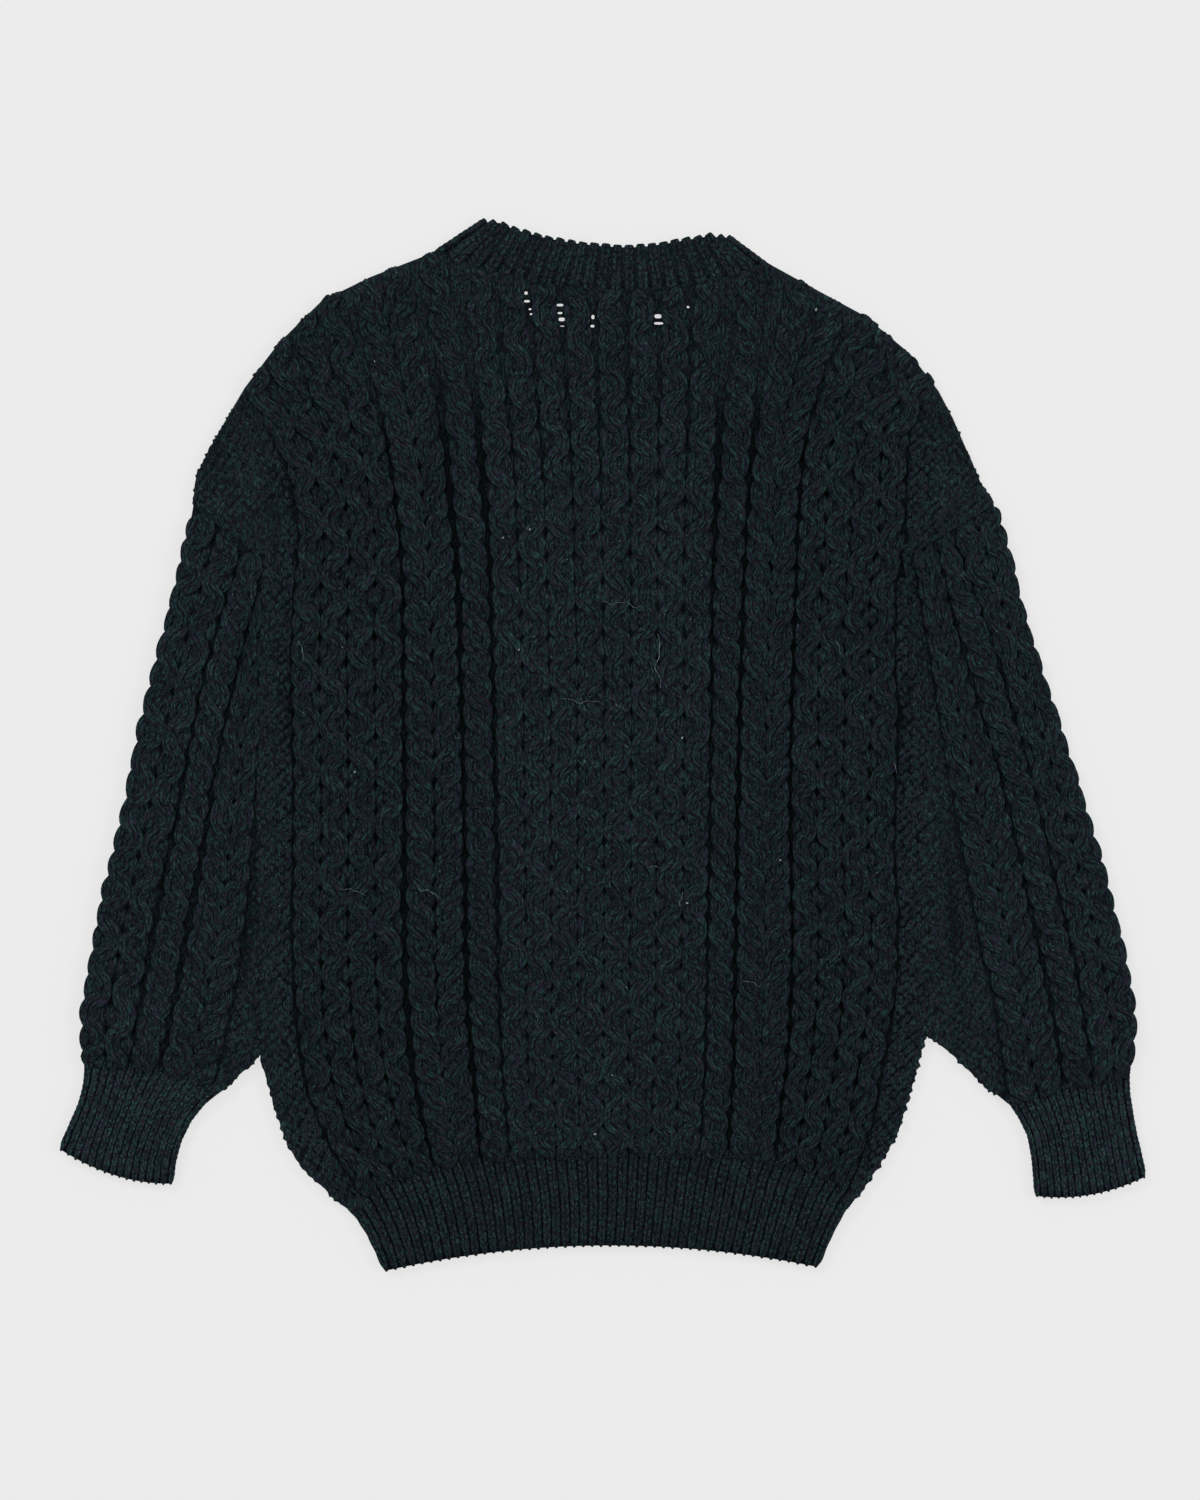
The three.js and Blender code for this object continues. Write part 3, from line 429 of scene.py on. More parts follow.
class Cloth:
    """The flat place of one layer. folds are the edges where it rolls to the other layer."""

    def __init__(self, mid, side, folds, opens, outline, lifted=True, joined=()):
        self.mid, self.side, self.joined = mid, side, joined
        self.folds, self.opens, self.outline, self.lifted = folds, opens, outline, lifted
        self.prepared = [self.prepare(*fold) for fold in folds]

    @staticmethod
    def prepare(p, s, curl, free):
        e = p[1:] - p[:-1]
        length = np.hypot(e[:, 0], e[:, 1])
        n = s * np.c_[e[:, 1], -e[:, 0]] / length[:, None]
        v = np.vstack([n[:1], n[:-1] + n[1:], n[-1:]])
        return p, e, length, v / np.linalg.norm(v, axis=1)[:, None], curl, free

    def edge(self, P):
        """Distance in from the nearest fold, the way out from it, and how far in it starts to roll."""
        best, d, out, curls = np.full(len(P), 1e9), np.full(len(P), 1e9), np.zeros((len(P), 2)), np.full(len(P), 5.0)
        for p, e, length, v, curl, free in self.prepared:
            for j in range(len(e)):
                t = ((P - p[j]) @ e[j]) / length[j] ** 2
                # past an end that stops at an open seam the cloth lies flat again
                past = np.zeros(len(P))
                if free == -1 and j == len(e) - 1:
                    past = np.maximum(0, t - 1) * length[j] * 1.5
                if free == 0 and j == 0:
                    past = np.maximum(0, -t) * length[j] * 1.5
                t = np.clip(t, 0, 1)
                D = P - (p[j] + t[:, None] * e[j])
                dist = np.hypot(D[:, 0], D[:, 1])
                near = dist < best
                if not near.any():
                    continue
                n = (1 - t)[:, None] * v[j] + t[:, None] * v[j + 1]
                n /= np.linalg.norm(n, axis=1)[:, None]
                sd = np.where((D * n).sum(1) > 0, -dist, dist) + past
                sd = np.where(past > 0, np.maximum(sd, (D * -n).sum(1) + past), sd)
                best[near], d[near], out[near], curls[near] = dist[near], sd[near], n[near], curl
        return d, out, curls

    def open_distance(self, P):
        best = np.full(len(P), 1e9)
        for p in self.opens:
            e = p[1:] - p[:-1]
            for j in range(len(e)):
                t = np.clip(((P - p[j]) @ e[j]) / (e[j] @ e[j]), 0, 1)
                D = P - (p[j] + t[:, None] * e[j])
                best = np.minimum(best, np.hypot(D[:, 0], D[:, 1]))
        return best

    def inside(self, P, grow=0.0):
        x, y = P[:, 0], P[:, 1]
        q = np.vstack([self.outline, self.outline[:1]])
        hit = np.zeros(len(P), bool)
        for (ax, ay), (bx, by) in zip(q[:-1], q[1:]):
            if ay == by:
                continue
            c = (ay > y) != (by > y)
            hit ^= c & (x < (bx - ax) * (y - ay) / (by - ay) + ax)
        if grow:
            d, _, _ = self.edge(P)
            hit |= (np.abs(d) < grow) & (self.open_distance(P) > grow)
            for p in self.joined:
                e = p[1:] - p[:-1]
                for j in range(len(e)):
                    t = np.clip(((P - p[j]) @ e[j]) / (e[j] @ e[j]), 0, 1)
                    D = P - (p[j] + t[:, None] * e[j])
                    hit |= (np.hypot(D[:, 0], D[:, 1]) < grow * 0.8) & (t > 0) & (t < 1)
        return hit

    def wrap(self, P, h):
        """Takes flat places at height h above the middle of the garment to 3-D points and normals."""
        d, n, curl = self.edge(P)
        quarter = curl + 0.06
        phi = np.clip((quarter - (curl - d)) / quarter * math.pi / 2, -0.8, math.pi / 2)
        bent = phi < math.pi / 2 - 1e-9
        sin, cos = np.sin(phi), np.cos(phi)
        # far beyond a fold the flat place keeps going round it
        shift = np.where(bent, d - (curl - h * cos), 0.0)
        Q = P + n * shift[:, None]
        z = h * np.where(bent, sin, 1.0)
        N = np.where(bent[:, None], np.c_[n * cos[:, None], sin], np.array([0, 0, 1.0]))
        if self.lifted:
            rim = np.clip(np.where(d < 30, d, 30) / 26, 0, 1)
            rim = rim * rim * (3 - 2 * rim)
            z = z + swell(Q) * rim
            gx = (swell(Q + [0.5, 0]) - swell(Q - [0.5, 0])) * rim
            gy = (swell(Q + [0, 0.5]) - swell(Q - [0, 0.5])) * rim
            N = N - np.c_[gx, gy, np.zeros(len(P))] * N[:, 2:3]
            N /= np.linalg.norm(N, axis=1)[:, None]
        return np.c_[Q, self.mid + self.side * z], N * [1, 1, self.side]


U = np.linspace(0, 1, 25)


def body_cloth(names, side):
    left, right = polyline(BODY, "leftX", "leftY"), polyline(BODY, "rightX", "rightY")
    last = len(left) - 1
    hem, neck = section(BODY, 0, U, names), section(BODY, last, U, names)
    a, b = ARM_ROWS
    folds = [(left[:a + 1], -1, 2.3, -1), (left[b:], -1, 4.7, None), (right[:a + 1], 1, 2.3, -1), (right[b:], 1, 4.7, None)]
    opens = [hem, neck, left[a:b + 1], right[a:b + 1]]
    outline = np.vstack([left, neck, right[::-1], hem[::-1]])
    return Cloth(BODY_MID, side, folds, opens, outline, side > 0, [hem])


def sleeve_cloth(t, side, hand):
    outer, inner = polyline(t, "outerX", "outerY"), polyline(t, "innerX", "innerY")
    last = len(outer) - 1
    top, cuff = section(t, 0, U), section(t, last, U)
    folds = [(outer[::-1], -hand, 4.7, None), (inner[SLEEVE_OPEN:][::-1], hand, 2.3, -1)]
    opens = [top, cuff, inner[:SLEEVE_OPEN + 1]]
    outline = np.vstack([outer, cuff, inner[::-1], top[::-1]])
    return Cloth(BODY_MID, side, folds, opens, outline, side > 0, [cuff])


def rib_cloth(t, side, hand):
    outer, inner = polyline(t, "outerX", "outerY"), polyline(t, "innerX", "innerY")
    last = len(outer) - 1
    top, low = section(t, 0, U), section(t, last, U)
    folds = [(outer[::-1], -hand, 3.8, None), (inner[::-1], hand, 3.8, None)]
    outline = np.vstack([outer, low, inner[::-1], top[::-1]])
    return Cloth(RIB_MID, side, folds, [top], outline, side > 0)


# ---- meshes ----
class Mesh:
    def __init__(self):
        self.v, self.f, self.fib, self.knit, self.n = [], [], [], [], 0

    def add(self, verts, faces, fib, knit=None):
        self.v.append(verts)
        self.f += [(np.asarray(f) + self.n) for f in faces if len(f)]
        self.fib.append(fib)
        # where no knit is given, a fixed painted hollow shade of 0.25
        if knit is None:
            knit = np.c_[fib[:, 0] / 4.2, fib[:, 1] / ROW_HEIGHT, np.full(len(fib), 0.25)]
        self.knit.append(knit)
        self.n += len(verts)

    def count(self):
        return sum(len(f) * (f.shape[1] - 2) for f in self.f)

    def build(self, name, material, smooth=True):
        v = np.vstack(self.v)
        v = np.c_[v[:, :2] + OFFSET, v[:, 2]] * MM
        mesh = bpy.data.meshes.new(name)
        mesh.vertices.add(len(v))
        mesh.vertices.foreach_set("co", v.astype(np.float32).ravel())
        loops = np.concatenate([f.ravel() for f in self.f])
        sizes = np.concatenate([np.full(len(f), f.shape[1]) for f in self.f])
        mesh.loops.add(len(loops))
        mesh.loops.foreach_set("vertex_index", loops.astype(np.int32))
        mesh.polygons.add(len(sizes))
        mesh.polygons.foreach_set("loop_start", np.r_[0, np.cumsum(sizes)[:-1]].astype(np.int32))
        mesh.update(calc_edges=True)
        mesh.validate()
        mesh.polygons.foreach_set("use_smooth", np.full(len(mesh.polygons), smooth))
        for key, rows in (("fib", self.fib), ("knit", self.knit)):
            a = mesh.attributes.new(key, "FLOAT_VECTOR", "POINT")
            a.data.foreach_set("vector", np.vstack(rows).astype(np.float32).ravel())
        mesh.materials.append(material)
        o = bpy.data.objects.new(name, mesh)
        bpy.context.scene.collection.objects.link(o)
        return o


def quads(a, b, closed=False):
    """Faces of a grid of a rows and b columns, with the columns joined round if closed."""
    i, j = np.meshgrid(np.arange(a - 1), np.arange(b if closed else b - 1), indexing="ij")
    k = (j + 1) % b
    return np.stack([i * b + j, i * b + k, (i + 1) * b + k, (i + 1) * b + j], -1).reshape(-1, 4)


# Sections of knitted strands: across, up, how far the V stands back along the knitting, and how
# much of the row relief it takes. One wale shows two legs of yarn that meet in a V.
TWO_WALES = table(
    "across  up     lag    relief",
    "-1.00   0.00   0.90   0.3",
    "-0.82   0.66   0.35   1.0",
    "-0.52   0.66   -1.0   0.4",
    "-0.22   0.96   0.20   1.0",
    "0.00    0.50   1.0    0.1",
    "0.22    0.96   0.20   1.0",
    "0.52    0.66   -1.0   0.4",
    "0.82    0.66   0.35   1.0",
    "1.00    0.00   0.90   0.3",
    "0.55    -0.80  0      0",
    "-0.55   -0.80  0      0",
)
ONE_WALE = table(
    "across  up     lag   relief",
    "-1.00   0.00   0.8   0.3",
    "-0.62   0.82   0.6   1.0",
    "0.00    0.42   -1.0  0.5",
    "0.62    0.82   0.6   1.0",
    "1.00    0.00   0.8   0.3",
    "0.00    -0.80  0     0",
)
PLAIN_STRAND = table(
    "across  up     lag   relief",
    "-1.00   0.00   0     0",
    "-0.70   0.72   0     0",
    "0.00    0.92   0     0",
    "0.70    0.72   0     0",
    "1.00    0.00   0     0",
    "0.00    -0.80  0     0",
)


def strand(out, X, N, width, thick, shape, step, seed, relief=0.42, lag=1.9, floor=0.12, v0=0):
    """A strand of knitting along the path X, with its face towards N: one ring for each entry."""
    T = np.gradient(X, axis=0)
    T /= np.linalg.norm(T, axis=1)[:, None]
    B = np.cross(T, N)
    B /= np.linalg.norm(B, axis=1)[:, None]
    N = np.cross(B, T)
    n, m = len(X), len(shape["across"])
    alt = np.where((np.arange(n) + v0) % 2 == 0, 1.0, -1.0)
    cap = np.ones(n)
    for k, c in enumerate((0.35, 0.72, 0.93)):
        if n > 2 * k + 2:
            cap[k] = min(cap[k], c); cap[n - 1 - k] = min(cap[n - 1 - k], c)
    wob = 1 + 0.05 * np.sin(np.arange(n) * 0.9 + seed * 2.1) + 0.03 * np.sin(np.arange(n) * 0.37 + seed)
    ac, up, lg, rl = (shape[k] for k in ("across", "up", "lag", "relief"))
    V = (X[:, None, :]
         + B[:, None, :] * (width * cap * wob / 2)[:, None, None] * ac[None, :, None]
         + N[:, None, :] * ((thick * cap)[:, None] * up[None, :] + (alt * cap)[:, None] * rl[None, :] * relief)[..., None]
         + T[:, None, :] * (lg * lag)[None, :, None] * cap[:, None, None])
    V = V.reshape(-1, 3)
    low = V[:, 2] < floor + 0.5
    V[low, 2] = floor + 0.5 * np.exp((V[low, 2] - floor - 0.5) / 0.5) * 1.0
    fib = np.stack([np.broadcast_to(ac * 0.5, (n, m)) * width[:, None],
                    np.broadcast_to((np.arange(n) * step)[:, None], (n, m)),
                    np.full((n, m), seed * 3.7)], -1).reshape(-1, 3)
    faces = quads(n, m, True)[:, ::-1]
    caps = [np.arange(m)[None, :], (np.arange(m)[::-1] + (n - 1) * m)[None, :]]
    wales = 2.0 if m > 6 or not rl.any() else 1.0
    # painted shade: the colour darkens low on the sides of the strand and between its rows; this also deepens the
    # bump
    pit_depth_and_shade = np.clip(0.55 * (1 - up) - 0.12 * alt[:, None] * rl, 0, 1)
    knit = np.stack([np.broadcast_to((ac * 0.5 + 0.5) * wales + seed % 7 * 2.0, (n, m)),
                     np.broadcast_to(((np.arange(n) + v0) * step / ROW_HEIGHT)[:, None], (n, m)), pit_depth_and_shade], -1).reshape(-1, 3)
    out.add(V, [faces] + caps, fib, knit)


def runs(mask, least):
    edges = np.flatnonzero(np.diff(np.r_[0, mask.astype(int), 0]))
    return [(a, b) for a, b in zip(edges[::2], edges[1::2]) if b - a >= least]


def soft_square(c, k=1.4):
    return np.tanh(k * c) / math.tanh(k)


class Along:
    """A frame that leans with the piece: s runs up it and l across it."""

    def __init__(self, lean=0.0):
        a = math.radians(lean)
        self.up, self.right = np.array([math.sin(a), math.cos(a)]), np.array([math.cos(a), -math.sin(a)])

    def flat(self, l, s):
        return np.outer(l, self.right) + np.outer(s, self.up)


def cables(out, cloth, axes, s_of_v, columns, step, base, thick, cross, shape, seed0, relief=0.42, lag=1.9):
    """Columns of two crossing strands. Each column names its two border lines, its pattern and
    the bare cloth left beside each border."""
    for i, c in enumerate(columns):
        s = s_of_v(c)
        l0, l1 = c["left"](s) + c["gaps"][0], c["right"](s) - c["gaps"][1]
        w, mid = l1 - l0, (l0 + l1) / 2
        honey = c["kind"] == "honey"
        reach = np.minimum(w * 0.22, 3.9) if honey else np.minimum(w * 0.24, 4.2)
        size = np.minimum(w * 0.5 + (3.1 if honey else 2.0), 11.6 if honey else 10.8)
        # low on the body the honeycomb spreads and its pits open
        size = size - c.get("loose", 0.0) * honey * np.clip((-120 - s) / 70, 0, 1)
        # and below the neck the middle columns stand a little apart
        size = size - c.get("apart", 0.0) * np.clip((s - 150) / 70, 0, 1)
        uneven = lambda f, g, k: np.sin(v * f + k * 1.7) * 0.6 + np.sin(v * g + k * 4.1) * 0.4
        v = c["v"]
        phase = math.pi * (v - c["start"]) / CROSSING
        side, wave = soft_square(np.cos(phase)), np.sin(phase)
        for which in (0, 1):
            sign = 1 if which == 0 else -1
            k = seed0 + i * 2 + which
            lateral = mid + sign * c["hand"] * side * reach * (1 + 0.10 * uneven(0.21, 0.083, k)) + 0.35 * uneven(0.057, 0.13, k + 3)
            if honey:
                # over each crossing the first strand rides up; between crossings both lie low
                depth = np.abs(wave) ** 1.3 * (1 if which == 0 else -1)
                h = base + cross * depth + (0.10 + 0.35 * c["sink"] if which == 0 else -0.15 - c["sink"])
            else:
                # the strand that climbs one way lies over the one that climbs the other way
                h = base + cross * sign * c["hand"] * c["over"] * wave
            h = h + 0.22 * uneven(0.17, 0.31, k + 9)
            for hx, hy, hw, hh in c.get("holes", ()):
                # the strands part round a dropped stitch
                off = lateral - hx
                bell = np.exp(-(np.maximum(0, np.abs(s - hy) - hh / 2) / 1.6) ** 2) * (np.abs(off) < 10)
                lateral = lateral + np.sign(off) * np.maximum(0, hw / 2 + size / 2 - np.abs(off)) * bell
            P = axes.flat(lateral, s)
            ok = cloth.inside(P, 3.2)
            for a, b in runs(ok, 5):
                Q, H = P[a:b], h[a:b].copy()
                near = np.clip((cloth.open_distance(Q) + 1.0) / 8.0, 0, 1)
                near = near * near * (3 - 2 * near)
                fold = np.clip(cloth.edge(Q)[0] / 11.0, 0, 1)
                fold = fold * fold * (3 - 2 * fold)
                H = 2.2 + (H - 2.2) * (0.35 + 0.65 * near)
                H = H - (1 - fold) * (0.9 + 0.5 * (H - base))
                W = size[a:b] * (0.88 + 0.12 * near) * (1 - 0.05 * np.abs(wave[a:b]))
                strand(out, *cloth.wrap(Q, H), W, np.full(b - a, thick) * (0.75 + 0.25 * near) * (0.86 + 0.14 * fold),
                       shape, step, k, relief, lag, v0=a)


# ---- ground cloth ----
def spread(length, curl, coarse):
    """Places across a row, in mm from one edge, close together where the edge rolls."""
    ends = [0.0, 1.2, 2.5, 3.9, 5.4, 7.2]
    mid = np.linspace(9.5, length - 9.5, max(3, int((length - 19) / coarse)))
    return np.r_[ends, mid, (length - np.array(ends))[::-1]] / length


def row_steps(t, per):
    return np.linspace(0, len(t["crown"]) - 1, (len(t["crown"]) - 1) * per + 1)


def fib_of(X, seed):
    return np.c_[X[:, 0], X[:, 1], X[:, 2] + seed]


def purl_of(X):
    """Wales, rows and hollow of the purl ground, which shows more where the cables fan out. The hollow is painted
    shade in the colour and also sets the bump.
    """
    top = np.clip((X[:, 1] - 190) / 70, 0, 1) * np.clip((np.abs(X[:, 0]) - 60) / 10, 0, 1)
    off = np.abs(X[:, 0])
    deep = 0.45 + 0.47 * np.clip((off - 66) / 8, 0, 1) - 0.32 * np.clip((off - 200) / 15, 0, 1)
    return np.c_[X[:, 0] / 4.2, X[:, 1] / ROW_HEIGHT, deep * (1 - 0.9 * top)]


def panel_shell(t, names, cloth, h_out, h_in, per, coarse, seed):
    js, u = row_steps(t, per), spread(430.0, 5, coarse)
    flat = np.vstack([section(t, j, u, names) for j in js])
    a, b = len(js), len(u)
    by_fold = np.clip(1 - cloth.edge(flat)[0] / 12, 0, 1) * np.clip((flat[:, 1] - 165) / 20, 0, 1)
    O, _ = cloth.wrap(flat, h_out + 0.9 * np.clip((flat[:, 1] - 200) / 70, 0, 1) + 0.9 * by_fold)
    I, _ = cloth.wrap(flat, np.full(len(flat), h_in))
    n = a * b
    q = quads(a, b)
    walls = []
    for j in range(a - 1):
        walls.append([j * b, (j + 1) * b, n + (j + 1) * b, n + j * b])
        k = b - 1
        walls.append([j * b + k, n + j * b + k, n + (j + 1) * b + k, (j + 1) * b + k])
    for k in range(b - 1):
        walls.append([k, n + k, n + k + 1, k + 1])
        m = (a - 1) * b + k
        walls.append([m, m + 1, n + m + 1, n + m])
    faces = np.vstack([q, q[:, ::-1] + n, np.array(walls)])
    if cloth.side < 0:
        faces = faces[:, ::-1]
    out = Mesh()
    V = np.vstack([O, I])
    out.add(V, [faces], fib_of(V, seed), purl_of(V))
    return out


def tube_shell(t, top, low, h_out, h_in, per, coarse, length, opened, seed, lap=0.0):
    """lap is how far the tube reaches up inside the piece above it."""
    js, u = row_steps(t, per), spread(length, 5, coarse)
    opened *= per
    flat = [section(t, j, u) for j in js]
    if lap:
        rise = flat[0] - flat[1]
        flat.insert(0, flat[0] + rise / np.linalg.norm(rise, axis=1)[:, None] * lap)
    F1, F2 = np.vstack([f[::-1] for f in flat]), np.vstack(flat)
    a, b = len(flat), len(u)

    def both(h):
        A, _ = top.wrap(F1, np.full(len(F1), h))
        B, _ = low.wrap(F2, np.full(len(F2), h))
        return np.concatenate([A.reshape(a, b, 3), B.reshape(a, b, 3)], 1).reshape(-1, 3)
    O, I = both(h_out), both(h_in)
    K, n = 2 * b, a * 2 * b
    q = quads(a, K)
    faces = [q, q[:, ::-1] + n]
    extra = []
    for j in range(a - 1):
        f, l, f2, l2 = j * K, j * K + K - 1, (j + 1) * K, (j + 1) * K + K - 1
        if j < opened:
            extra += [[f, f2, n + f2, n + f], [l, n + l, n + l2, l2]]
        else:
            extra += [[l, f, f2, l2], [n + f, n + l, n + l2, n + f2]]
    for k in range(K - 1):
        m = (a - 1) * K + k
        extra += [[k, n + k, n + k + 1, k + 1], [m, m + 1, n + m + 1, n + m]]
    f, l = opened * K, opened * K + K - 1
    extra.append([f, l, n + l, n + f] if opened else [l, n + l, n + f, f])
    m, m2 = (a - 1) * K, (a - 1) * K + K - 1
    extra.append([m2, m, n + m, n + m2])
    faces.append(np.array(extra))
    out = Mesh()
    V = np.vstack([O, I])
    out.add(V, [np.vstack(faces)], fib_of(V, seed), purl_of(V))
    return out


def tidy(o):
    """Faces all turned outward."""
    import bmesh
    bm = bmesh.new()
    bm.from_mesh(o.data)
    bmesh.ops.recalc_face_normals(bm, faces=bm.faces)
    bm.to_mesh(o.data)
    bm.free()
    return o


# ---- moss stitch ----
def seeds(a, r, seed):
    """Height of uneven purl bumps, one in every other place of a grid of wales a and rows r."""
    best = np.zeros(a.shape)
    for i in (-1, 0, 1, 2):
        for j in (-1, 0, 1, 2):
            ci, cj = np.floor(a) + i, np.floor(r) + j
            h = np.abs(np.sin(ci * 127.1 + cj * 311.7 + seed * 74.7) * 43758.5)
            h1, h2, h3 = h % 1, (h * 7.13) % 1, (h * 3.71) % 1
            da, dr = a - ci - 0.5 * (h1 - 0.5), r - cj - 0.45 * (h2 - 0.5)
            tilt = (h3 - 0.5) * 0.9
            da, dr = da + tilt * dr * 0.5, dr - tilt * da * 0.5
            bump = (0.55 + 0.6 * h3) * np.exp(-(da / 0.50) ** 2 - (dr / 0.62) ** 2)
            best = np.maximum(best, bump * ((ci + cj) % 2 == 0))
    return best


def moss(out, cloth, axes, edge, border, lo, hi, pitch, seed, base=2.7, deep=1.5):
    """A strip of moss stitch between a border line and the edge of the cloth, lo to hi up it."""
    s = np.arange(lo, hi, pitch)
    e, b = edge(s), border(s)
    width = np.abs(b - e)
    keep = width > 5.0
    for i0, i1 in runs(keep, 8):
        S, E, Bd = s[i0:i1], e[i0:i1], b[i0:i1]
        n = max(5, int(np.ceil(np.abs(Bd - E).max() / pitch)))
        # the first column is a wall down to the shell at the outer edge
        p = np.r_[0.0, np.linspace(0, 1, n)]
        n += 1
        L = E[:, None] + (Bd - E)[:, None] * p[None, :]
        SS = np.broadcast_to(S[:, None], L.shape)
        P = axes.flat(L.ravel(), SS.ravel())
        a = (L - Bd[:, None]) / 3.3
        r = SS / 3.1
        f = seeds(a + 0.1 * np.sin(SS * 0.05), r, seed)
        h = base - 0.4 + (deep + 1.1 * np.exp(-p[None, :] * np.abs(Bd - E)[:, None] / 5)) * f
        rim = np.arange(n)[::-1][None, :] * np.ones((len(S), 1))
        rim = np.minimum(rim, np.minimum(np.arange(len(S)), np.arange(len(S))[::-1])[:, None])
        h = np.where(rim < 1, 1.7, h)
        h[:, 0] = 1.2
        h = h.ravel()
        X, N = cloth.wrap(P, h)
        X[:, 2] = np.maximum(X[:, 2], 0.14)
        m, k = len(S), n
        faces = quads(m, k)
        left, right = np.arange(m) * k, np.arange(m) * k + k - 1
        under = np.stack([left[:-1], left[1:], right[1:], right[:-1]], -1)
        ends = [np.arange(k)[None, ::-1].copy(), (np.arange(k) + (m - 1) * k)[None, :].copy()]
        if not ((axes.right[0] > 0) == (E.mean() < Bd.mean())) ^ (cloth.side < 0):
            faces, under, ends = faces[:, ::-1], under[:, ::-1], [x[:, ::-1] for x in ends]
        # painted shade: the moss darkens in deep creases of the cloth and between its purl bumps, with a fixed shade
        # at the rim
        painted_crease_shade = 0.3 * np.clip(-swell(P) - 0.7, 0, 2.2).reshape(f.shape)
        pit_depth_and_shade = np.where(rim < 1, 0.4, np.clip(0.50 - 0.75 * f + painted_crease_shade, 0, 1))
        out.add(X, [faces, under] + ends, np.c_[L.ravel(), SS.ravel(), np.full(L.size, seed * 1.3)],
                np.c_[L.ravel() / 3.3, SS.ravel() / ROW_HEIGHT, pit_depth_and_shade.ravel()])


# ---- ribs ----
def ribs(out, t, cloth, count, base, thick, fill, step, seed0, relief=0.22, lag=0.95, flip=False):
    last = len(t["crown"]) - 1
    js = np.linspace(0, last, 60)
    for i in range(count):
        u = (i + 0.5) / count
        line = np.vstack([section(t, j, [u]) for j in js])
        near = np.vstack([section(t, j, [min(1, u + 0.5 / count)]) for j in js])
        far = np.vstack([section(t, j, [max(0, u - 0.5 / count)]) for j in js])
        pitch = np.hypot(*(near - far).T)
        line, pitch = line[::-1], pitch[::-1]
        arc = np.r_[0, np.cumsum(np.hypot(*np.diff(line, axis=0).T))]
        k = max(6, int(round((arc[-1] + 0.6) / step)))
        at = np.linspace(0.0, arc[-1], k)
        P = np.c_[np.interp(at, arc, line[:, 0]), np.interp(at, arc, line[:, 1])]
        P[0] = line[0] + (line[0] - line[1]) / np.linalg.norm(line[0] - line[1]) * (0.65 + 0.12 * math.sin(i * 1.7 + seed0))
        end = line[-1] - line[-2]
        P = np.vstack([P] + [P[-1] + end / np.linalg.norm(end) * q for q in (1.6, 3.2, 4.8, 6.2)])
        W = np.interp(np.r_[at, [arc[-1]] * 4], arc, pitch) * fill
        h = np.full(k + 4, base)
        h[-4:] += [0.2, 0.3, 0.2, -0.3]
        k += 4
        strand(out, *cloth.wrap(P, h), W, np.full(k, thick), ONE_WALE, step, seed0 + i, relief, lag, v0=i)


def neck_sections():
    """The neckband's strip, round from the right shoulder fold over the back and back by the front."""
    k = len(BODY["crown"]) - 1
    seam = {n: [BODY[n][k]] * 2 for n in BODY}
    top, low, mid = 5.6 + 1.8, 1.8, (5.6 + 1.8 + 1.8) / 2
    radius = (top - low) / 2

    def strip(u, names, bow, z, n):
        # the ribs fan out only close to the two corners
        side = 1 if u < 0.5 else -1
        near = min(u, 1 - u)
        s = section(BODY, k, [u + side * 0.055 * (1 - 2 * near) * (1 - math.exp(-near / 0.06))], names)[0]
        e = bowed(NECK["leftX"], NECK["leftY"], NECK["rightX"], NECK["rightY"], NECK[bow], NECK["frontCrown" if z < mid else "crown"], [u])[0]
        s = s + (e - s) / np.linalg.norm(e - s) * 0.48
        # the free edge of the back stands a little higher towards the right shoulder and at both corners
        if z > mid:
            rise = np.clip((u - 0.55) / 0.33, 0, 1)
            rise = 3.1 * rise * rise * (3 - 2 * rise) + 1.5 * math.exp(-(u / 0.07) ** 2)
            e = e + (e - s) / np.linalg.norm(e - s) * rise
        return np.r_[s, z], np.r_[e, z], np.array([0, 0, n])

    def fold(side):
        s, e, _ = strip(0.0 if side < 0 else 1.0, BACK_NAMES, "backBow", mid, 1)
        d = (e - s)[:2] / np.linalg.norm((e - s)[:2])
        out = np.array([side * abs(d[1]), abs(d[0])])
        s, e = s - np.r_[out, 0] * (5.9 if side > 0 else 4.6), e - np.r_[out, 0] * 3.9
        e = e + (s - e) / np.linalg.norm(s - e) * (1.9 if side < 0 else 1.2)
        made = []
        for a in np.linspace(math.pi / 2, -math.pi / 2, 11):
            n = np.r_[out * math.cos(a), math.sin(a)]
            made.append((s + n * radius, e + n * radius, n))
        return made
    us = np.linspace(0.05, 0.95, 40)
    ring = fold(-1)[::-1] + [strip(u, BACK_NAMES, "backBow", top, 1) for u in us] + fold(1)
    ring += [strip(u, FRONT_NAMES, "frontBow", low, -1) for u in us[::-1]]
    return [np.array([r[i] for r in ring]) for i in range(3)]


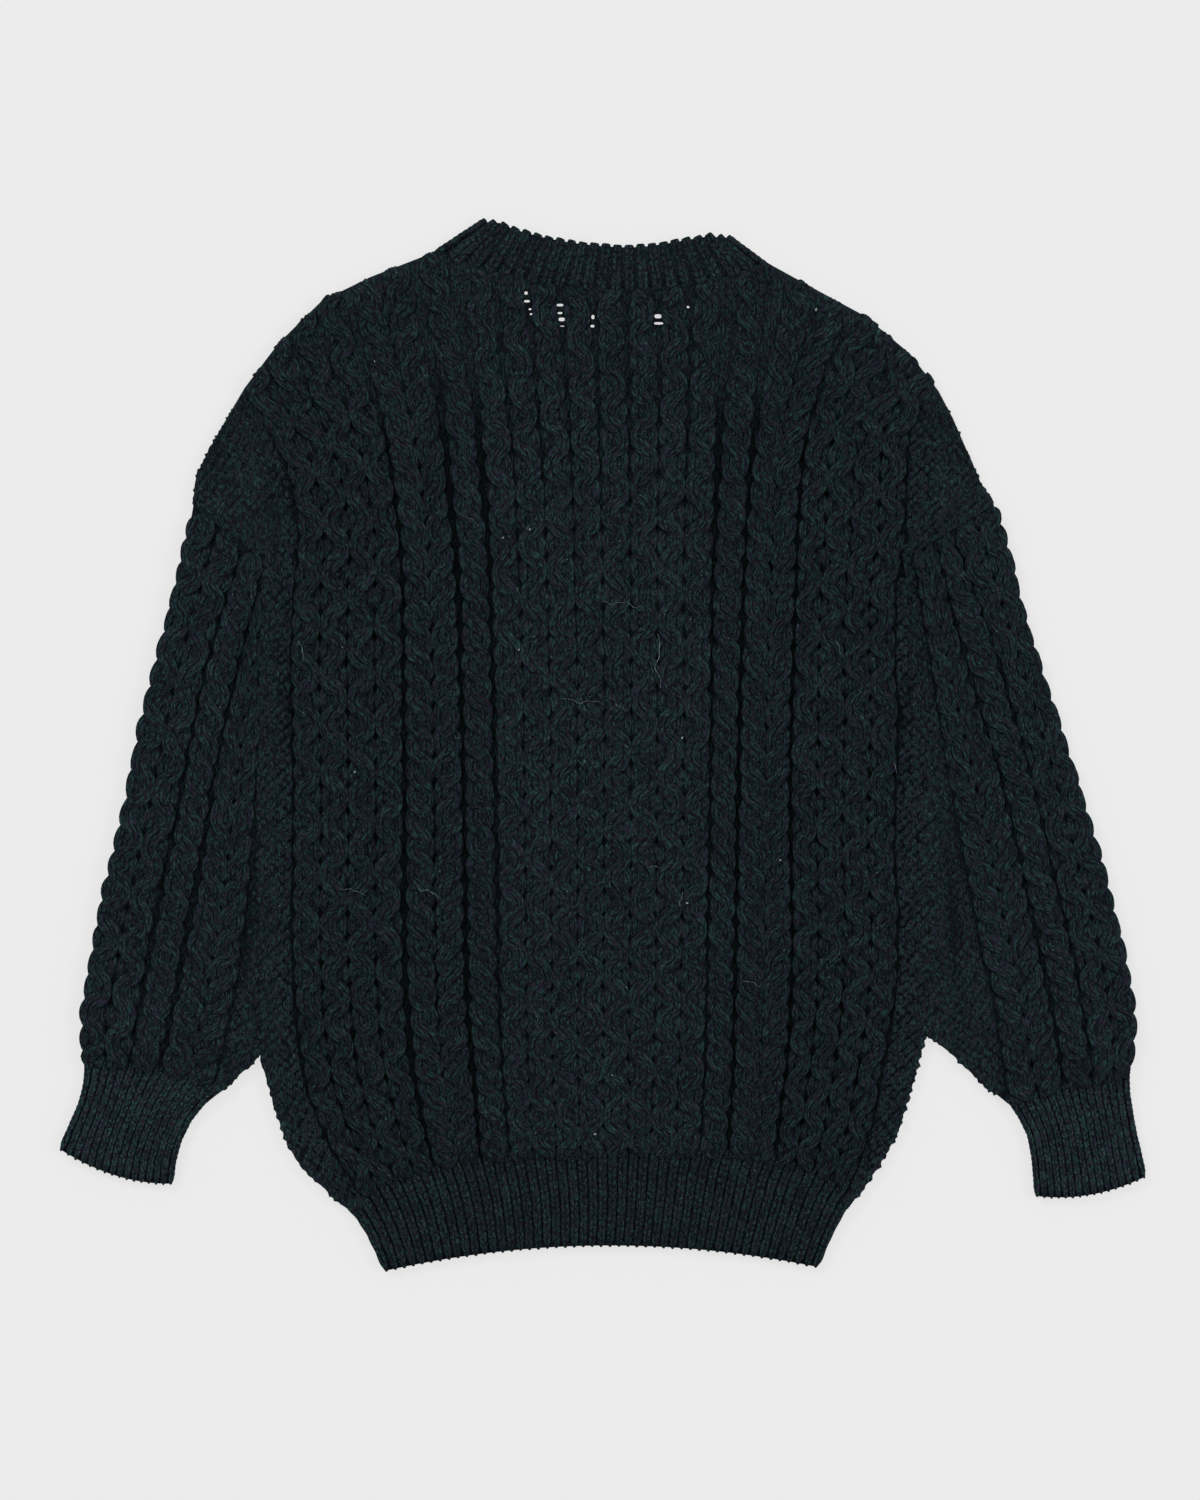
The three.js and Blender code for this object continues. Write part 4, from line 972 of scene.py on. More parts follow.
def neckband(shell, knit, count, seed0):
    S, E, N = neck_sections()
    h = 0.85
    tuck = (S - E) / np.linalg.norm(E - S, axis=1)[:, None] * 1.8 - N * 0.7
    out_s, out_e, in_s, in_e = S + N * h + tuck, E + N * h, S - N * h + tuck, E - N * h
    n = len(S)
    V = np.stack([out_s, out_e, in_e, in_s], 1).reshape(-1, 3)
    i, k = np.meshgrid(np.arange(n), np.arange(4), indexing="ij")
    i2, k2 = (i + 1) % n, (k + 1) % 4
    shell.add(V, [np.stack([i * 4 + k, i2 * 4 + k, i2 * 4 + k2, i * 4 + k2], -1).reshape(-1, 4)], fib_of(V, 5))
    # the ribs are spaced evenly round the free edge
    loop = np.vstack([E, E[:1]])
    arc = np.r_[0, np.cumsum(np.linalg.norm(np.diff(loop, axis=0), axis=1))]
    close = lambda A: np.vstack([A, A[:1]])
    get = lambda A, a: np.array([np.interp(a, arc, close(A)[:, c]) for c in range(3)])
    # one rib lies on each shoulder fold, turned a little upwards, the rest evenly between them
    a0, a1 = arc[7], arc[11 + 40 + 3]
    back_n = int(round(count * (a1 - a0) / arc[-1]))
    front_n = count - back_n
    places = [(a0 + (a1 - a0) * r / back_n, (a1 - a0) / back_n) for r in range(back_n)]
    places += [((a1 + (arc[-1] - a1 + a0) * r / front_n) % arc[-1], (arc[-1] - a1 + a0) / front_n) for r in range(front_n)]
    for r, (a, pitch) in enumerate(places):
        s, e, nn = get(S, a), get(E, a), get(N, a)
        nn = nn / np.linalg.norm(nn)
        before, after = (a - pitch / 2) % arc[-1], (a + pitch / 2) % arc[-1]
        length = np.linalg.norm(e - s)
        # rings lie closer at the two ends, which are blunt and round
        end = 1.5 + 0.25 * math.sin(r * 1.9)
        t = np.r_[-2.6, -2.2, -1.5, np.linspace(-0.6, length + end - 2.3, max(4, int(round(length / 1.9)))),
                  length + end - 1.1, length + end - 0.4, length + end] / length
        k = len(t)
        turned = np.hypot(nn[0], nn[1])
        fill = 0.8 + 0.16 * math.exp(-(min(abs(a - a0), abs(a - a1), abs(a - a0 - arc[-1])) / 11) ** 2)
        for side in (1, -1):
            X = s[None, :] + (e - s)[None, :] * t[:, None] + nn[None, :] * side * 1.0
            W = (np.linalg.norm(get(S, after) - get(S, before)) * (1 - t) + np.linalg.norm(get(E, after) - get(E, before)) * t) * fill
            strand(knit, X, np.repeat(nn[None, :] * side, k, 0), W * (1 - 0.12 * turned), np.full(k, 1.6 + 1.1 * turned), ONE_WALE, 1.9,
                   seed0 + r, 0.2, 0.95, v0=r)


# ---- loose fibre and flecks caught in the cloth ----
def curls(out, t, seed):
    """Thin curly fibres, each from one end to the other of its row, wandering about that line."""
    for k, (ax, ay, bx, by, wave, turns, thick) in enumerate(zip(*(t[n] for n in ("ax", "ay", "bx", "by", "wave", "turns", "thick")))):
        n = 26
        p = np.linspace(0, 1, n)
        d = np.array([bx - ax, by - ay])
        length = np.hypot(*d)
        side = np.array([-d[1], d[0]]) / length
        bell = np.sin(math.pi * p) ** 0.5
        w = wave * bell * (np.sin(2 * math.pi * turns * p + k) + 0.45 * np.sin(2 * math.pi * (turns * 2.3 * p) + 2.1 * k))
        q = np.array([ax, ay])[None] + d[None] * p[:, None] + side[None] * w[:, None]
        z = top_of(q) + 0.7 + 0.5 * np.sin(2 * math.pi * turns * 0.7 * p + 1.3 * k)
        X = np.c_[q, z]
        T = np.gradient(X, axis=0)
        T /= np.linalg.norm(T, axis=1)[:, None]
        B = np.cross(T, [0, 0, 1.0])
        B /= np.linalg.norm(B, axis=1)[:, None]
        N = np.cross(B, T)
        a = np.arange(5) * 2 * math.pi / 5
        r = thick * (0.45 + 0.55 * np.sin(math.pi * p) ** 0.4)
        V = (X[:, None] + r[:, None, None] * (B[:, None] * np.cos(a)[None, :, None] + N[:, None] * np.sin(a)[None, :, None])).reshape(-1, 3)
        out.add(V, [quads(n, 5, True)[:, ::-1], np.arange(5)[None], (np.arange(5)[::-1] + (n - 1) * 5)[None].copy()],
                np.c_[V[:, :2], np.full(len(V), seed + k)])


def flecks(out, t, seed):
    """Small flat flecks of pale fibre, each a low six-sided lozenge."""
    for k, (x, y, wide, long, turn) in enumerate(zip(*(t[n] for n in ("x", "y", "wide", "long", "turn")))):
        a = np.arange(6) * math.pi / 3
        c, s = math.cos(math.radians(turn)), math.sin(math.radians(turn))
        u, v = np.cos(a) * long / 2, np.sin(a) * wide / 2
        z = top_of(np.array([[x, y]]))[0] + 0.2
        ring = np.c_[x + u * c - v * s, y + u * s + v * c, np.full(6, z)]
        V = np.vstack([ring, [[x, y, z + 0.4], [x, y, z - 0.4]]])
        i = np.arange(6)
        out.add(V, [np.stack([i, (i + 1) % 6, np.full(6, 6)], -1), np.stack([(i + 1) % 6, i, np.full(6, 7)], -1)],
                np.c_[V[:, :2], np.full(len(V), seed + k)])


# ---- materials ----
def wool(name, deep, teal, plum, pale, marl, rows, sides, centre, roughness, nap):
    """Heather wool. fib runs across the strand and along it in millimetres; knit runs across it in
    wales and along it in rows, with the depth of the hollow last. The flecks of the marl lie along
    the legs of the stitches. Painted shade darkens the colour between the legs, between the rows
    and in the hollows, and lightens it on the crowns; the hollow also sets the bump."""
    m = bpy.data.materials.new(name)
    m.use_nodes = True
    nt = m.node_tree
    nt.nodes.clear()
    link = nt.links.new

    def new(kind, **kw):
        node = nt.nodes.new(kind)
        for k, v in kw.items():
            setattr(node, k, v)
        return node

    def feed(socket, v):
        if isinstance(v, bpy.types.NodeSocket):
            link(v, socket)
        else:
            socket.default_value = v

    def math_node(op, *values, clamp=False):
        n = new("ShaderNodeMath", operation=op, use_clamp=clamp)
        for socket, v in zip(n.inputs, values):
            feed(socket, v)
        return n.outputs[0]

    def smooth(v, a, b, lo=0.0, hi=1.0):
        n = new("ShaderNodeMapRange", interpolation_type="SMOOTHSTEP")
        for socket, x in zip(n.inputs, (v, a, b, lo, hi)):
            feed(socket, x)
        return n.outputs[0]

    def join(x, y, z):
        n = new("ShaderNodeCombineXYZ")
        for socket, v in zip(n.inputs, (x, y, z)):
            feed(socket, v)
        return n.outputs[0]

    def noise(vector, stretch, detail, rough, offset=(0, 0, 0), distortion=0.0):
        mp = new("ShaderNodeMapping")
        mp.inputs["Scale"].default_value = stretch
        mp.inputs["Location"].default_value = offset
        link(vector, mp.inputs["Vector"])
        n = new("ShaderNodeTexNoise")
        n.inputs["Scale"].default_value = 1.0
        n.inputs["Detail"].default_value = detail
        n.inputs["Roughness"].default_value = rough
        n.inputs["Distortion"].default_value = distortion
        link(mp.outputs[0], n.inputs["Vector"])
        return n.outputs["Fac"]

    def mix(fac, a, b, kind="MIX"):
        x = new("ShaderNodeMix", data_type="RGBA", blend_type=kind)
        for socket, v in ((x.inputs[0], fac), (x.inputs[6], a), (x.inputs[7], b)):
            feed(socket, (*v, 1) if isinstance(v, tuple) and len(v) == 3 else v)
        return x.outputs[2]

    fib, knit = new("ShaderNodeAttribute", attribute_name="fib"), new("ShaderNodeAttribute", attribute_name="knit")
    f, k = new("ShaderNodeSeparateXYZ"), new("ShaderNodeSeparateXYZ")
    link(fib.outputs["Vector"], f.inputs[0])
    link(knit.outputs["Vector"], k.inputs[0])
    across, along, strand_id = f.outputs
    wale, row, pit_depth_and_shade = k.outputs
    wander = noise(fib.outputs["Vector"], (0.23, 0.23, 1.0), 1.0, 0.5, (4, 1, 7))
    row = math_node("ADD", row, math_node("MULTIPLY", math_node("SUBTRACT", wander, 0.5), 0.55))
    leg = math_node("FLOOR", math_node("MULTIPLY", wale, 2.0))
    t = math_node("MULTIPLY", math_node("ABSOLUTE", math_node("SUBTRACT", math_node("FRACT", wale), 0.5)), 2.0)
    # streaks of the marl: short along the leg, thin across it
    place = join(math_node("MULTIPLY", row, 1.5 * marl), math_node("MULTIPLY", across, 0.95), math_node("ADD", strand_id, math_node("MULTIPLY", leg, 7.31)))
    first = noise(place, (1.0, 1.0, 1.0), 2.0, 0.55, (0, 0, 0), 0.25)
    second = noise(place, (0.8, 0.9, 1.0), 2.0, 0.55, (31, 17, 5), 0.25)
    third = noise(place, (1.6, 1.1, 1.0), 2.0, 0.6, (11, 47, 3), 0.3)
    broad = noise(fib.outputs["Vector"], (0.06, 0.06, 0.4), 2.0, 0.5, (3, 9, 2))
    spot = noise(fib.outputs["Vector"], (0.9, 0.9, 0.9), 1.0, 0.5, (71, 3, 8))
    tone = mix(smooth(first, 0.47, 0.58), deep, teal)
    tone = mix(smooth(second, 0.52, 0.60), tone, plum)
    tone = mix(smooth(spot, 0.72, 0.78), tone, pale)
    # painted shade: the colour darkens between the rows, at the sides of each wale, down its middle and wherever the
    # knit is hollow; the same amount sets the bump height
    row_gap_bump_and_shade = math_node("POWER", math_node("SUBTRACT", 0.5, math_node("MULTIPLY", math_node("COSINE", math_node("MULTIPLY", row, 2 * math.pi)), 0.5)), 3.0)
    row_gap_bump_and_shade = math_node("MULTIPLY", row_gap_bump_and_shade, rows)
    side = math_node("MULTIPLY", smooth(t, 0.72, 1.0), sides)
    middle = math_node("MULTIPLY", smooth(t, 0.26, 0.0), centre)
    hollow_bump_and_shade = math_node("MAXIMUM", math_node("MAXIMUM", row_gap_bump_and_shade, side), math_node("MAXIMUM", middle, pit_depth_and_shade))
    hollow_bump_and_shade = math_node("ADD", hollow_bump_and_shade, math_node("MULTIPLY", math_node("SUBTRACT", 0.5, third), 1.5), clamp=True)
    # painted light and shade: lighter on the crowns of the knit and darker in its hollows, times a broad random tone
    shade_by = math_node("MULTIPLY", smooth(hollow_bump_and_shade, 0.0, 1.0, 1.25, 0.22), smooth(broad, 0.3, 0.7, 0.84, 1.12))
    tone = mix(1.0, tone, join(shade_by, shade_by, shade_by), "MULTIPLY")

    out, shade = new("ShaderNodeOutputMaterial"), new("ShaderNodeBsdfPrincipled")
    link(shade.outputs[0], out.inputs["Surface"])
    link(tone, shade.inputs["Base Color"])
    # relief: the legs, the plies of the yarn, and loose fibre over them
    hair = noise(place, (2.6, 1.6, 1.0), 2.0, 0.65, (50, 8, 3), 0.6)
    b1 = new("ShaderNodeBump")
    b1.inputs["Strength"].default_value = 0.85 * nap
    b1.inputs["Distance"].default_value = 0.0009
    link(math_node("SUBTRACT", 1.0, hollow_bump_and_shade), b1.inputs["Height"])
    b2 = new("ShaderNodeBump")
    b2.inputs["Strength"].default_value = 0.7 * nap
    b2.inputs["Distance"].default_value = 0.0004
    link(hair, b2.inputs["Height"])
    link(b1.outputs[0], b2.inputs["Normal"])
    link(b2.outputs[0], shade.inputs["Normal"])
    link(smooth(hair, 0.2, 0.8, roughness - 0.08, min(1.0, roughness + 0.08)), shade.inputs["Roughness"])
    shade.inputs["Specular IOR Level"].default_value = 0.04
    shade.inputs["Sheen Weight"].default_value = 0.03
    shade.inputs["Sheen Roughness"].default_value = 0.55
    shade.inputs["Sheen Tint"].default_value = (0.45, 0.72, 0.78, 1)
    return m


DEEP, TEAL, PLUM, PALE = (0.0062, 0.0073, 0.0122), (0.0162, 0.0435, 0.0405), (0.0190, 0.0165, 0.0305), (0.080, 0.140, 0.140)
tint = lambda g: [tuple(g * v for v in c) for c in (DEEP, TEAL, PLUM, PALE)]
cabled = wool("cabled_wool_marl", *tint(0.96), 1.0, 0.50, 0.70, 0.38, 0.88, 1.0)
# painted shade: a darker copy of the cable wool for the side columns, which lie in shade
shaded_side_wool = wool("side_cable_wool_marl_painted_shade", *tint(0.87), 1.0, 0.50, 0.70, 0.38, 0.88, 1.0)
mossed = wool("moss_wool_marl", *tint(0.88), 1.1, 0.22, 0.28, 0.16, 0.9, 1.1)
ribbed = wool("ribbed_wool_marl", *tint(0.97), 1.25, 0.60, 0.76, 0.76, 0.86, 0.9)
cuffed = wool("cuff_wool_marl", *tint(1.34), 1.25, 0.60, 0.66, 0.56, 0.86, 0.9)
# painted shade: the purl ground is the same yarn, made darker because it lies in shade between the strands
ground = wool("ground_wool_marl_painted_shade", *tint(0.74), 0.9, 0.40, 0.60, 0.30, 0.95, 1.0)
fleck = wool("fleck_wool", (0.22, 0.25, 0.25), (0.30, 0.34, 0.34), (0.36, 0.38, 0.39), (0.55, 0.58, 0.58), 1.0, 0.0, 0.0, 0.0, 0.9, 0.4)
lint = wool("lint_wool", (0.05, 0.07, 0.075), (0.12, 0.19, 0.20), (0.20, 0.24, 0.26), (0.34, 0.42, 0.43), 1.0, 0.0, 0.0, 0.0, 0.9, 0.4)

# ---- the sweater ----
back, front = body_cloth(BACK_NAMES, 1), body_cloth(FRONT_NAMES, -1)
body_axes = Along(0.0)
line = lambda t, key, n: (lambda s, a=t[key][::-1], b=t[n][::-1]: np.interp(s, a, b))
BODY_COLUMNS = table(
    # left and right are places in the list of border lines; kind 0 is honeycomb, 1 a rope;
    # hand mirrors the column; over says which strand of a rope lies on top; gapL, gapR are bare
    "left right kind hand over gapL gapR",
    "0    1     0    1    0    0.8  0.2",
    "1    2     0    -1   0    0.2  0.2",
    "2    3     0    1    0    0.2  0.2",
    "3    4     0    -1   0    0.2  1.3",
    "4    5     1    1    1    1.4  -0.4",
    "5    6     1    1    -1   -0.4 1.4",
    "6    7     1    1    1    1.6  1.6",
    "7    8     0    1    0    1.2  0.1",
    "8    9     0    -1   0    0.1  0.1",
    "9    10    0    1    0    0.1  0.1",
    "10   11    0    -1   0    0.1  0.1",
    "11   12    0    1    0    0.1  0.1",
    "12   13    0    -1   0    0.1  0.1",
    "13   14    0    1    0    0.1  0.1",
    "14   15    0    -1   0    0.1  1.2",
    "15   16    1    1    1    1.5  1.5",
    "16   17    1    1    1    1.4  -0.4",
    "17   18    1    1    -1   -0.4 1.4",
    "18   19    0    1    0    1.4  0.2",
    "19   20    0    -1   0    0.2  0.2",
    "20   21    0    1    0    0.2  0.2",
    "21   22    0    -1   0    0.2  0.8",
)


def body_borders():
    g = lambda n: line(BODY_LINES, "y", n)
    part = lambda a, b, f: (lambda s: g(a)(s) * (1 - f) + g(b)(s) * f)
    left = [part("mossL", "shoeL", f) for f in (0, 0.25, 0.5, 0.75)]
    shoe_l = [g("shoeL"), part("shoeL", "ropeL", 0.53), g("ropeL")]
    mid = [g(n) for n in ("midL", "mid1", "mid2", "mid3", "mid4", "mid5", "mid6", "mid7", "midR")]
    shoe_r = [g("ropeR"), part("ropeR", "shoeR", 0.51), g("shoeR")]
    right = [part("shoeR", "mossR", f) for f in (0.25, 0.5, 0.75, 1.0)]
    return left + shoe_l + mid + shoe_r + right


def droop(x, y, names):
    """How far a knitted row at this place stands above the straight line between its ends."""
    ly, ry = BODY["leftY"], BODY["rightY"]
    mid_y = (ly + ry) / 2
    f = lambda n: np.interp(y, mid_y + 0.5 * BODY[names[4]], BODY[n])
    u = np.clip((x - f("leftX")) / (f("rightX") - f("leftX")), 0, 1)
    return f(names[4]) * (1 - np.abs(2 * u - 1) ** f("crown"))


def row_places(axes, centre, lo, hi, step, names, pull):
    """Heights at which a column's rings stand, evenly spaced in knitted rows."""
    s = np.arange(lo, hi, 0.5)
    x = centre(s)
    low = np.where(s < 60, droop(x, s, names), 0.0) if names else 0.0
    v = s - low - pull(s)
    v = np.maximum.accumulate(v + np.arange(len(v)) * 1e-6)
    want = np.arange(v[0], v[-1], step)
    return np.interp(want, v, s), want


def body_cables(cloth, names, lo_hi, step, base, thick, cross, shape, select, seed0, relief=0.42, lag=1.9):
    out = Mesh()
    borders = body_borders()
    for i in select:
        L, R = borders[int(BODY_COLUMNS["left"][i])], borders[int(BODY_COLUMNS["right"][i])]
        centre = lambda s: (L(s) + R(s)) / 2
        pull = lambda q: np.interp(q, BODY_PULL["y"], BODY_PULL["c%d" % i])
        s, v = row_places(body_axes, centre, *lo_hi, step, names, pull)
        col = {"left": L, "right": R, "kind": "rope" if BODY_COLUMNS["kind"][i] else "honey",
               "hand": BODY_COLUMNS["hand"][i], "over": BODY_COLUMNS["over"][i],
               "gaps": (BODY_COLUMNS["gapL"][i], BODY_COLUMNS["gapR"][i]), "v": v,
               "start": 40.8 + CROSSING, "sink": 0.15 if 6 < i < 15 else 0.95,
               "loose": 0.0 if 6 < i < 15 else 1.3, "apart": 1.3 if 6 < i < 15 else 0.0,
               "holes": list(zip(*(HOLES[n] for n in ("x", "y", "wide", "high")))) if cloth.side > 0 else ()}
        cables(out, cloth, body_axes, lambda c: s, [col], step, base, thick, cross, shape, seed0 + 2 * i, relief, lag)
    return out


def sleeve_cables(t, pull_table, lean, hand, cloth, step, base, thick, cross, shape, seed0, relief=0.42, lag=1.9):
    out = Mesh()
    axes = Along(lean)
    g = lambda n: line(t, "s", n)
    part = lambda a, b, f: (lambda s: g(a)(s) * (1 - f) + g(b)(s) * f)
    chain = [g("outer"), part("outer", "honey", 0.5), g("honey"), g("rope"), part("rope", "shoe", 0.5), g("shoe")]
    kinds = [("honey", 1, 0, 0.1, 0.1), ("honey", -1, 0, 0.1, 0.5), ("rope", 1, 1, 0.8, 0.8),
             ("rope", 1, 1, 0.8, -0.5), ("rope", 1, -1, -0.5, 1.3)]
    for i, (kind, flip, over, ga, gb) in enumerate(kinds):
        A, B = chain[i], chain[i + 1]
        if hand < 0:
            A, B, ga, gb = B, A, gb, ga
        lo, hi = -292.0, 110.0
        pull = lambda q: np.interp(q, pull_table["s"], pull_table["c%d" % i])
        s, v = row_places(axes, lambda q: (A(q) + B(q)) / 2, lo, hi, step, None, pull)
        twist = flip if kind == "honey" or i > 2 else 1
        if hand < 0 and i > 2:
            twist, over = -flip, -over
        col = {"left": A, "right": B, "kind": kind, "hand": twist, "over": over, "gaps": (ga, gb), "v": v,
               "start": 6.0, "sink": 0.55}
        cables(out, cloth, axes, lambda c: s, [col], step, base, thick, cross, shape, seed0 + 2 * i, relief, lag)
    return out


FINE, COARSE = ROW_HEIGHT / 2, ROW_HEIGHT * 0.8
UPPER = dict(step=FINE, base=4.15, thick=2.1, cross=1.25, shape=TWO_WALES)
LOWER = dict(step=COARSE, base=3.5, thick=1.75, cross=0.7, shape=PLAIN_STRAND, relief=0.0, lag=0.0)
groups = {}


def piece(name, mesh, material, fixed=False):
    o = mesh.build(name, material)
    if fixed:
        tidy(o)
    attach(o, "root")
    print(name, mesh.count())
    return o


def sheet_area(t, names):
    """Flat area of a table's sections, in square metres."""
    k = len(t["crown"])
    u = np.linspace(0, 1, 41)
    g = np.stack([section(t, j, u, names) for j in np.linspace(0, k - 1, 4 * k)])
    a, b, c, d = g[:-1, :-1], g[:-1, 1:], g[1:, 1:], g[1:, :-1]
    cross = lambda p, q: p[..., 0] * q[..., 1] - p[..., 1] * q[..., 0]
    return float(np.abs(0.5 * cross(c - a, d - b)).sum()) * 1e-6


SLEEVE_NAMES = ("outerX", "outerY", "innerX", "innerY", "bow")

# body
shell_back = piece("back_cloth", panel_shell(BODY, BACK_NAMES, back, 2.6, 0.5, 5, 5.2, 10), ground, True)


def pierce(o, t):
    """Cuts each hole of the table through the shell."""
    cut = Mesh()
    for x, y, w, h in zip(t["x"], t["y"], t["wide"], t["high"]):
        a = np.linspace(0, 2 * math.pi, 12, endpoint=False)
        ring = np.c_[x + w / 2 * np.sign(np.cos(a)) * np.abs(np.cos(a)) ** 0.7, y + h / 2 * np.sign(np.sin(a)) * np.abs(np.sin(a)) ** 0.7]
        V = np.vstack([np.c_[ring, np.full(12, -20.0)], np.c_[ring, np.full(12, 40.0)]])
        k = np.arange(12)
        cut.add(V, [np.stack([k, (k + 1) % 12, (k + 1) % 12 + 12, k + 12], -1), k[None, ::-1].copy(), k[None, :] + 12], V)
    c = cut.build("hole_cutter", ground)
    m = o.modifiers.new("holes", "BOOLEAN")
    m.operation, m.solver, m.object = "DIFFERENCE", "EXACT", c
    dg = bpy.context.evaluated_depsgraph_get()
    made = bpy.data.meshes.new_from_object(o.evaluated_get(dg))
    o.modifiers.clear()
    o.data = made
    bpy.data.objects.remove(c)


pierce(shell_back, HOLES)
shell_front = piece("front_cloth", panel_shell(BODY, FRONT_NAMES, front, 2.4, 0.5, 4, 6.0, 20), ground, True)
left_cols, mid_cols, right_cols = range(0, 7), range(7, 15), range(15, 22)
y_span = (-301.0, 345.0)
back_parts, front_parts = [], []
for tag, cols in (("left", left_cols), ("middle", mid_cols), ("right", right_cols)):
    m = body_cables(back, BACK_NAMES, y_span, select=cols, seed0=0, **UPPER)
    # the side columns take the darker painted-shade copy of the wool
    back_parts.append(piece("back_cables_" + tag, m, cabled if tag == "middle" else shaded_side_wool))
m = body_cables(front, FRONT_NAMES, y_span, select=range(0, 22), seed0=100, **LOWER)
front_parts.append(piece("front_cables", m, cabled))
edge_l = lambda s: np.interp(s, BODY["leftY"], BODY["leftX"])
edge_r = lambda s: np.interp(s, BODY["rightY"], BODY["rightX"])
moss_l, moss_r = line(BODY_LINES, "y", "mossL"), line(BODY_LINES, "y", "mossR")
m = Mesh()
for lo, hi in ((-301, 63.4), (60, 262)):
    moss(m, back, body_axes, edge_l, lambda s: moss_l(s) - 0.5, lo, hi, 1.35, 3)
    moss(m, back, body_axes, edge_r, lambda s: moss_r(s) + 0.5, lo, hi, 1.35, 4)
back_parts.append(piece("back_moss", m, mossed, True))
m = Mesh()
for lo, hi in ((-301, 63.4), (60, 262)):
    moss(m, front, body_axes, edge_l, lambda s: moss_l(s) - 0.5, lo, hi, 2.2, 5, 2.9, 0.9)
    moss(m, front, body_axes, edge_r, lambda s: moss_r(s) + 0.5, lo, hi, 2.2, 6, 2.9, 0.9)
front_parts.append(piece("front_moss", m, mossed, True))

# sleeves
sleeves = {}
for tag, t, lines, pull, lean, hand, length in (
        ("left", SLEEVE_LEFT, SLEEVE_LEFT_LINES, SLEEVE_LEFT_PULL, LEFT_LEAN, 1, 95.0),
        ("right", SLEEVE_RIGHT, SLEEVE_RIGHT_LINES, SLEEVE_RIGHT_PULL, RIGHT_LEAN, -1, 105.0)):
    top, low = sleeve_cloth(t, 1, hand), sleeve_cloth(t, -1, hand)
    s = piece("sleeve_cloth_" + tag, tube_shell(t, top, low, 2.6, 0.5, 5, 5.2, length, SLEEVE_OPEN, 30), ground, True)
    up = piece("sleeve_cables_" + tag, sleeve_cables(lines, pull, lean, hand, top, seed0=200, **UPPER), cabled)
    dn = piece("sleeve_under_cables_" + tag, sleeve_cables(lines, pull, lean, hand, low, seed0=300, **LOWER), cabled)
    axes = Along(lean)
    inner = np.c_[t["innerX"], t["innerY"]]
    si, li = inner @ axes.up, inner @ axes.right
    e = lambda q, si=si, li=li: np.interp(q, si[::-1], li[::-1])
    b = line(lines, "s", "shoe")
    m = Mesh()
    moss(m, top, axes, e, b, -291, 0 if hand > 0 else 84, 1.35, 7)
    moss(m, low, axes, e, b, -291, 0 if hand > 0 else 84, 2.2, 8, 2.9, 0.9)
    ms = piece("sleeve_moss_" + tag, m, mossed, True)
    sleeves[tag] = (s, [up, dn, ms], t)

# loose fibre, lying on whatever is under it
tops = []
for o in back_parts + [p for s in sleeves.values() for p in s[1] if "under" not in p.name]:
    co = np.empty(len(o.data.vertices) * 3, np.float32)
    o.data.vertices.foreach_get("co", co)
    tops.append(co.reshape(-1, 3))
tops = np.vstack(tops) / MM - [OFFSET[0], OFFSET[1], 0]
cell = np.floor(tops[:, :2] / 3.0).astype(int) + 200
heights = np.zeros((400, 400))
np.maximum.at(heights, (np.clip(cell[:, 0], 0, 399), np.clip(cell[:, 1], 0, 399)), tops[:, 2])


def top_of(q):
    k = np.clip(np.floor(np.asarray(q) / 3.0).astype(int) + 200, 0, 399)
    return heights[k[:, 0], k[:, 1]]


m = Mesh()
curls(m, CURLS, 900)
back_parts.append(piece("loose_fibre", m, lint, True))
m = Mesh()
flecks(m, FLECKS, 950)
back_parts.append(piece("flecks", m, fleck, True))

# ribs
rib_pieces = {}
for tag, t, hand, count, length, per in (("hem", HEM, 1, 49, 300.0, 6), ("cuff_left", CUFF_LEFT, 1, 16, 85.0, 5),
                                         ("cuff_right", CUFF_RIGHT, -1, 16, 80.0, 5)):
    top, low = rib_cloth(t, 1, hand), rib_cloth(t, -1, hand)
    s = piece(tag + "_cloth", tube_shell(t, top, low, 1.7, 0.5, per, 3.6, length, 0, 40, 2.4), ground, True)
    m = Mesh()
    ribs(m, t, top, count, 2.5, 1.7, 0.94, 1.8, 400)
    ribs(m, t, low, count, 2.4, 1.55, 0.94, 1.8, 500)
    k = piece(tag + "_ribs", m, ribbed if tag == "hem" else cuffed)
    rib_pieces[tag] = (s, k, t)
band, band_ribs = Mesh(), Mesh()
neckband(band, band_ribs, 56, 600)
neck_shell = piece("neckband_cloth", band, ribbed, True)
neck_ribs = piece("neckband_ribs", band_ribs, ribbed)

# ---- each cloth stands in for an imported part, which is hidden; the flat area of each piece is printed ----
for o, node in ((shell_back, "back_panel"), (shell_front, "front_panel"), (sleeves["left"][0], "sleeve_left"),
                (sleeves["right"][0], "sleeve_right"), (rib_pieces["hem"][0], "hem_rib"),
                (rib_pieces["cuff_left"][0], "cuff_left"), (rib_pieces["cuff_right"][0], "cuff_right"),
                (neck_shell, "neckband")):
    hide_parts(node)


def box_flat(t, names, double):
    a = np.c_[t[names[0]], t[names[1]]]
    b = np.c_[t[names[2]], t[names[3]]]
    w = np.hypot(*(b - a).T).max() * (2 if double else 1)
    return w * MM


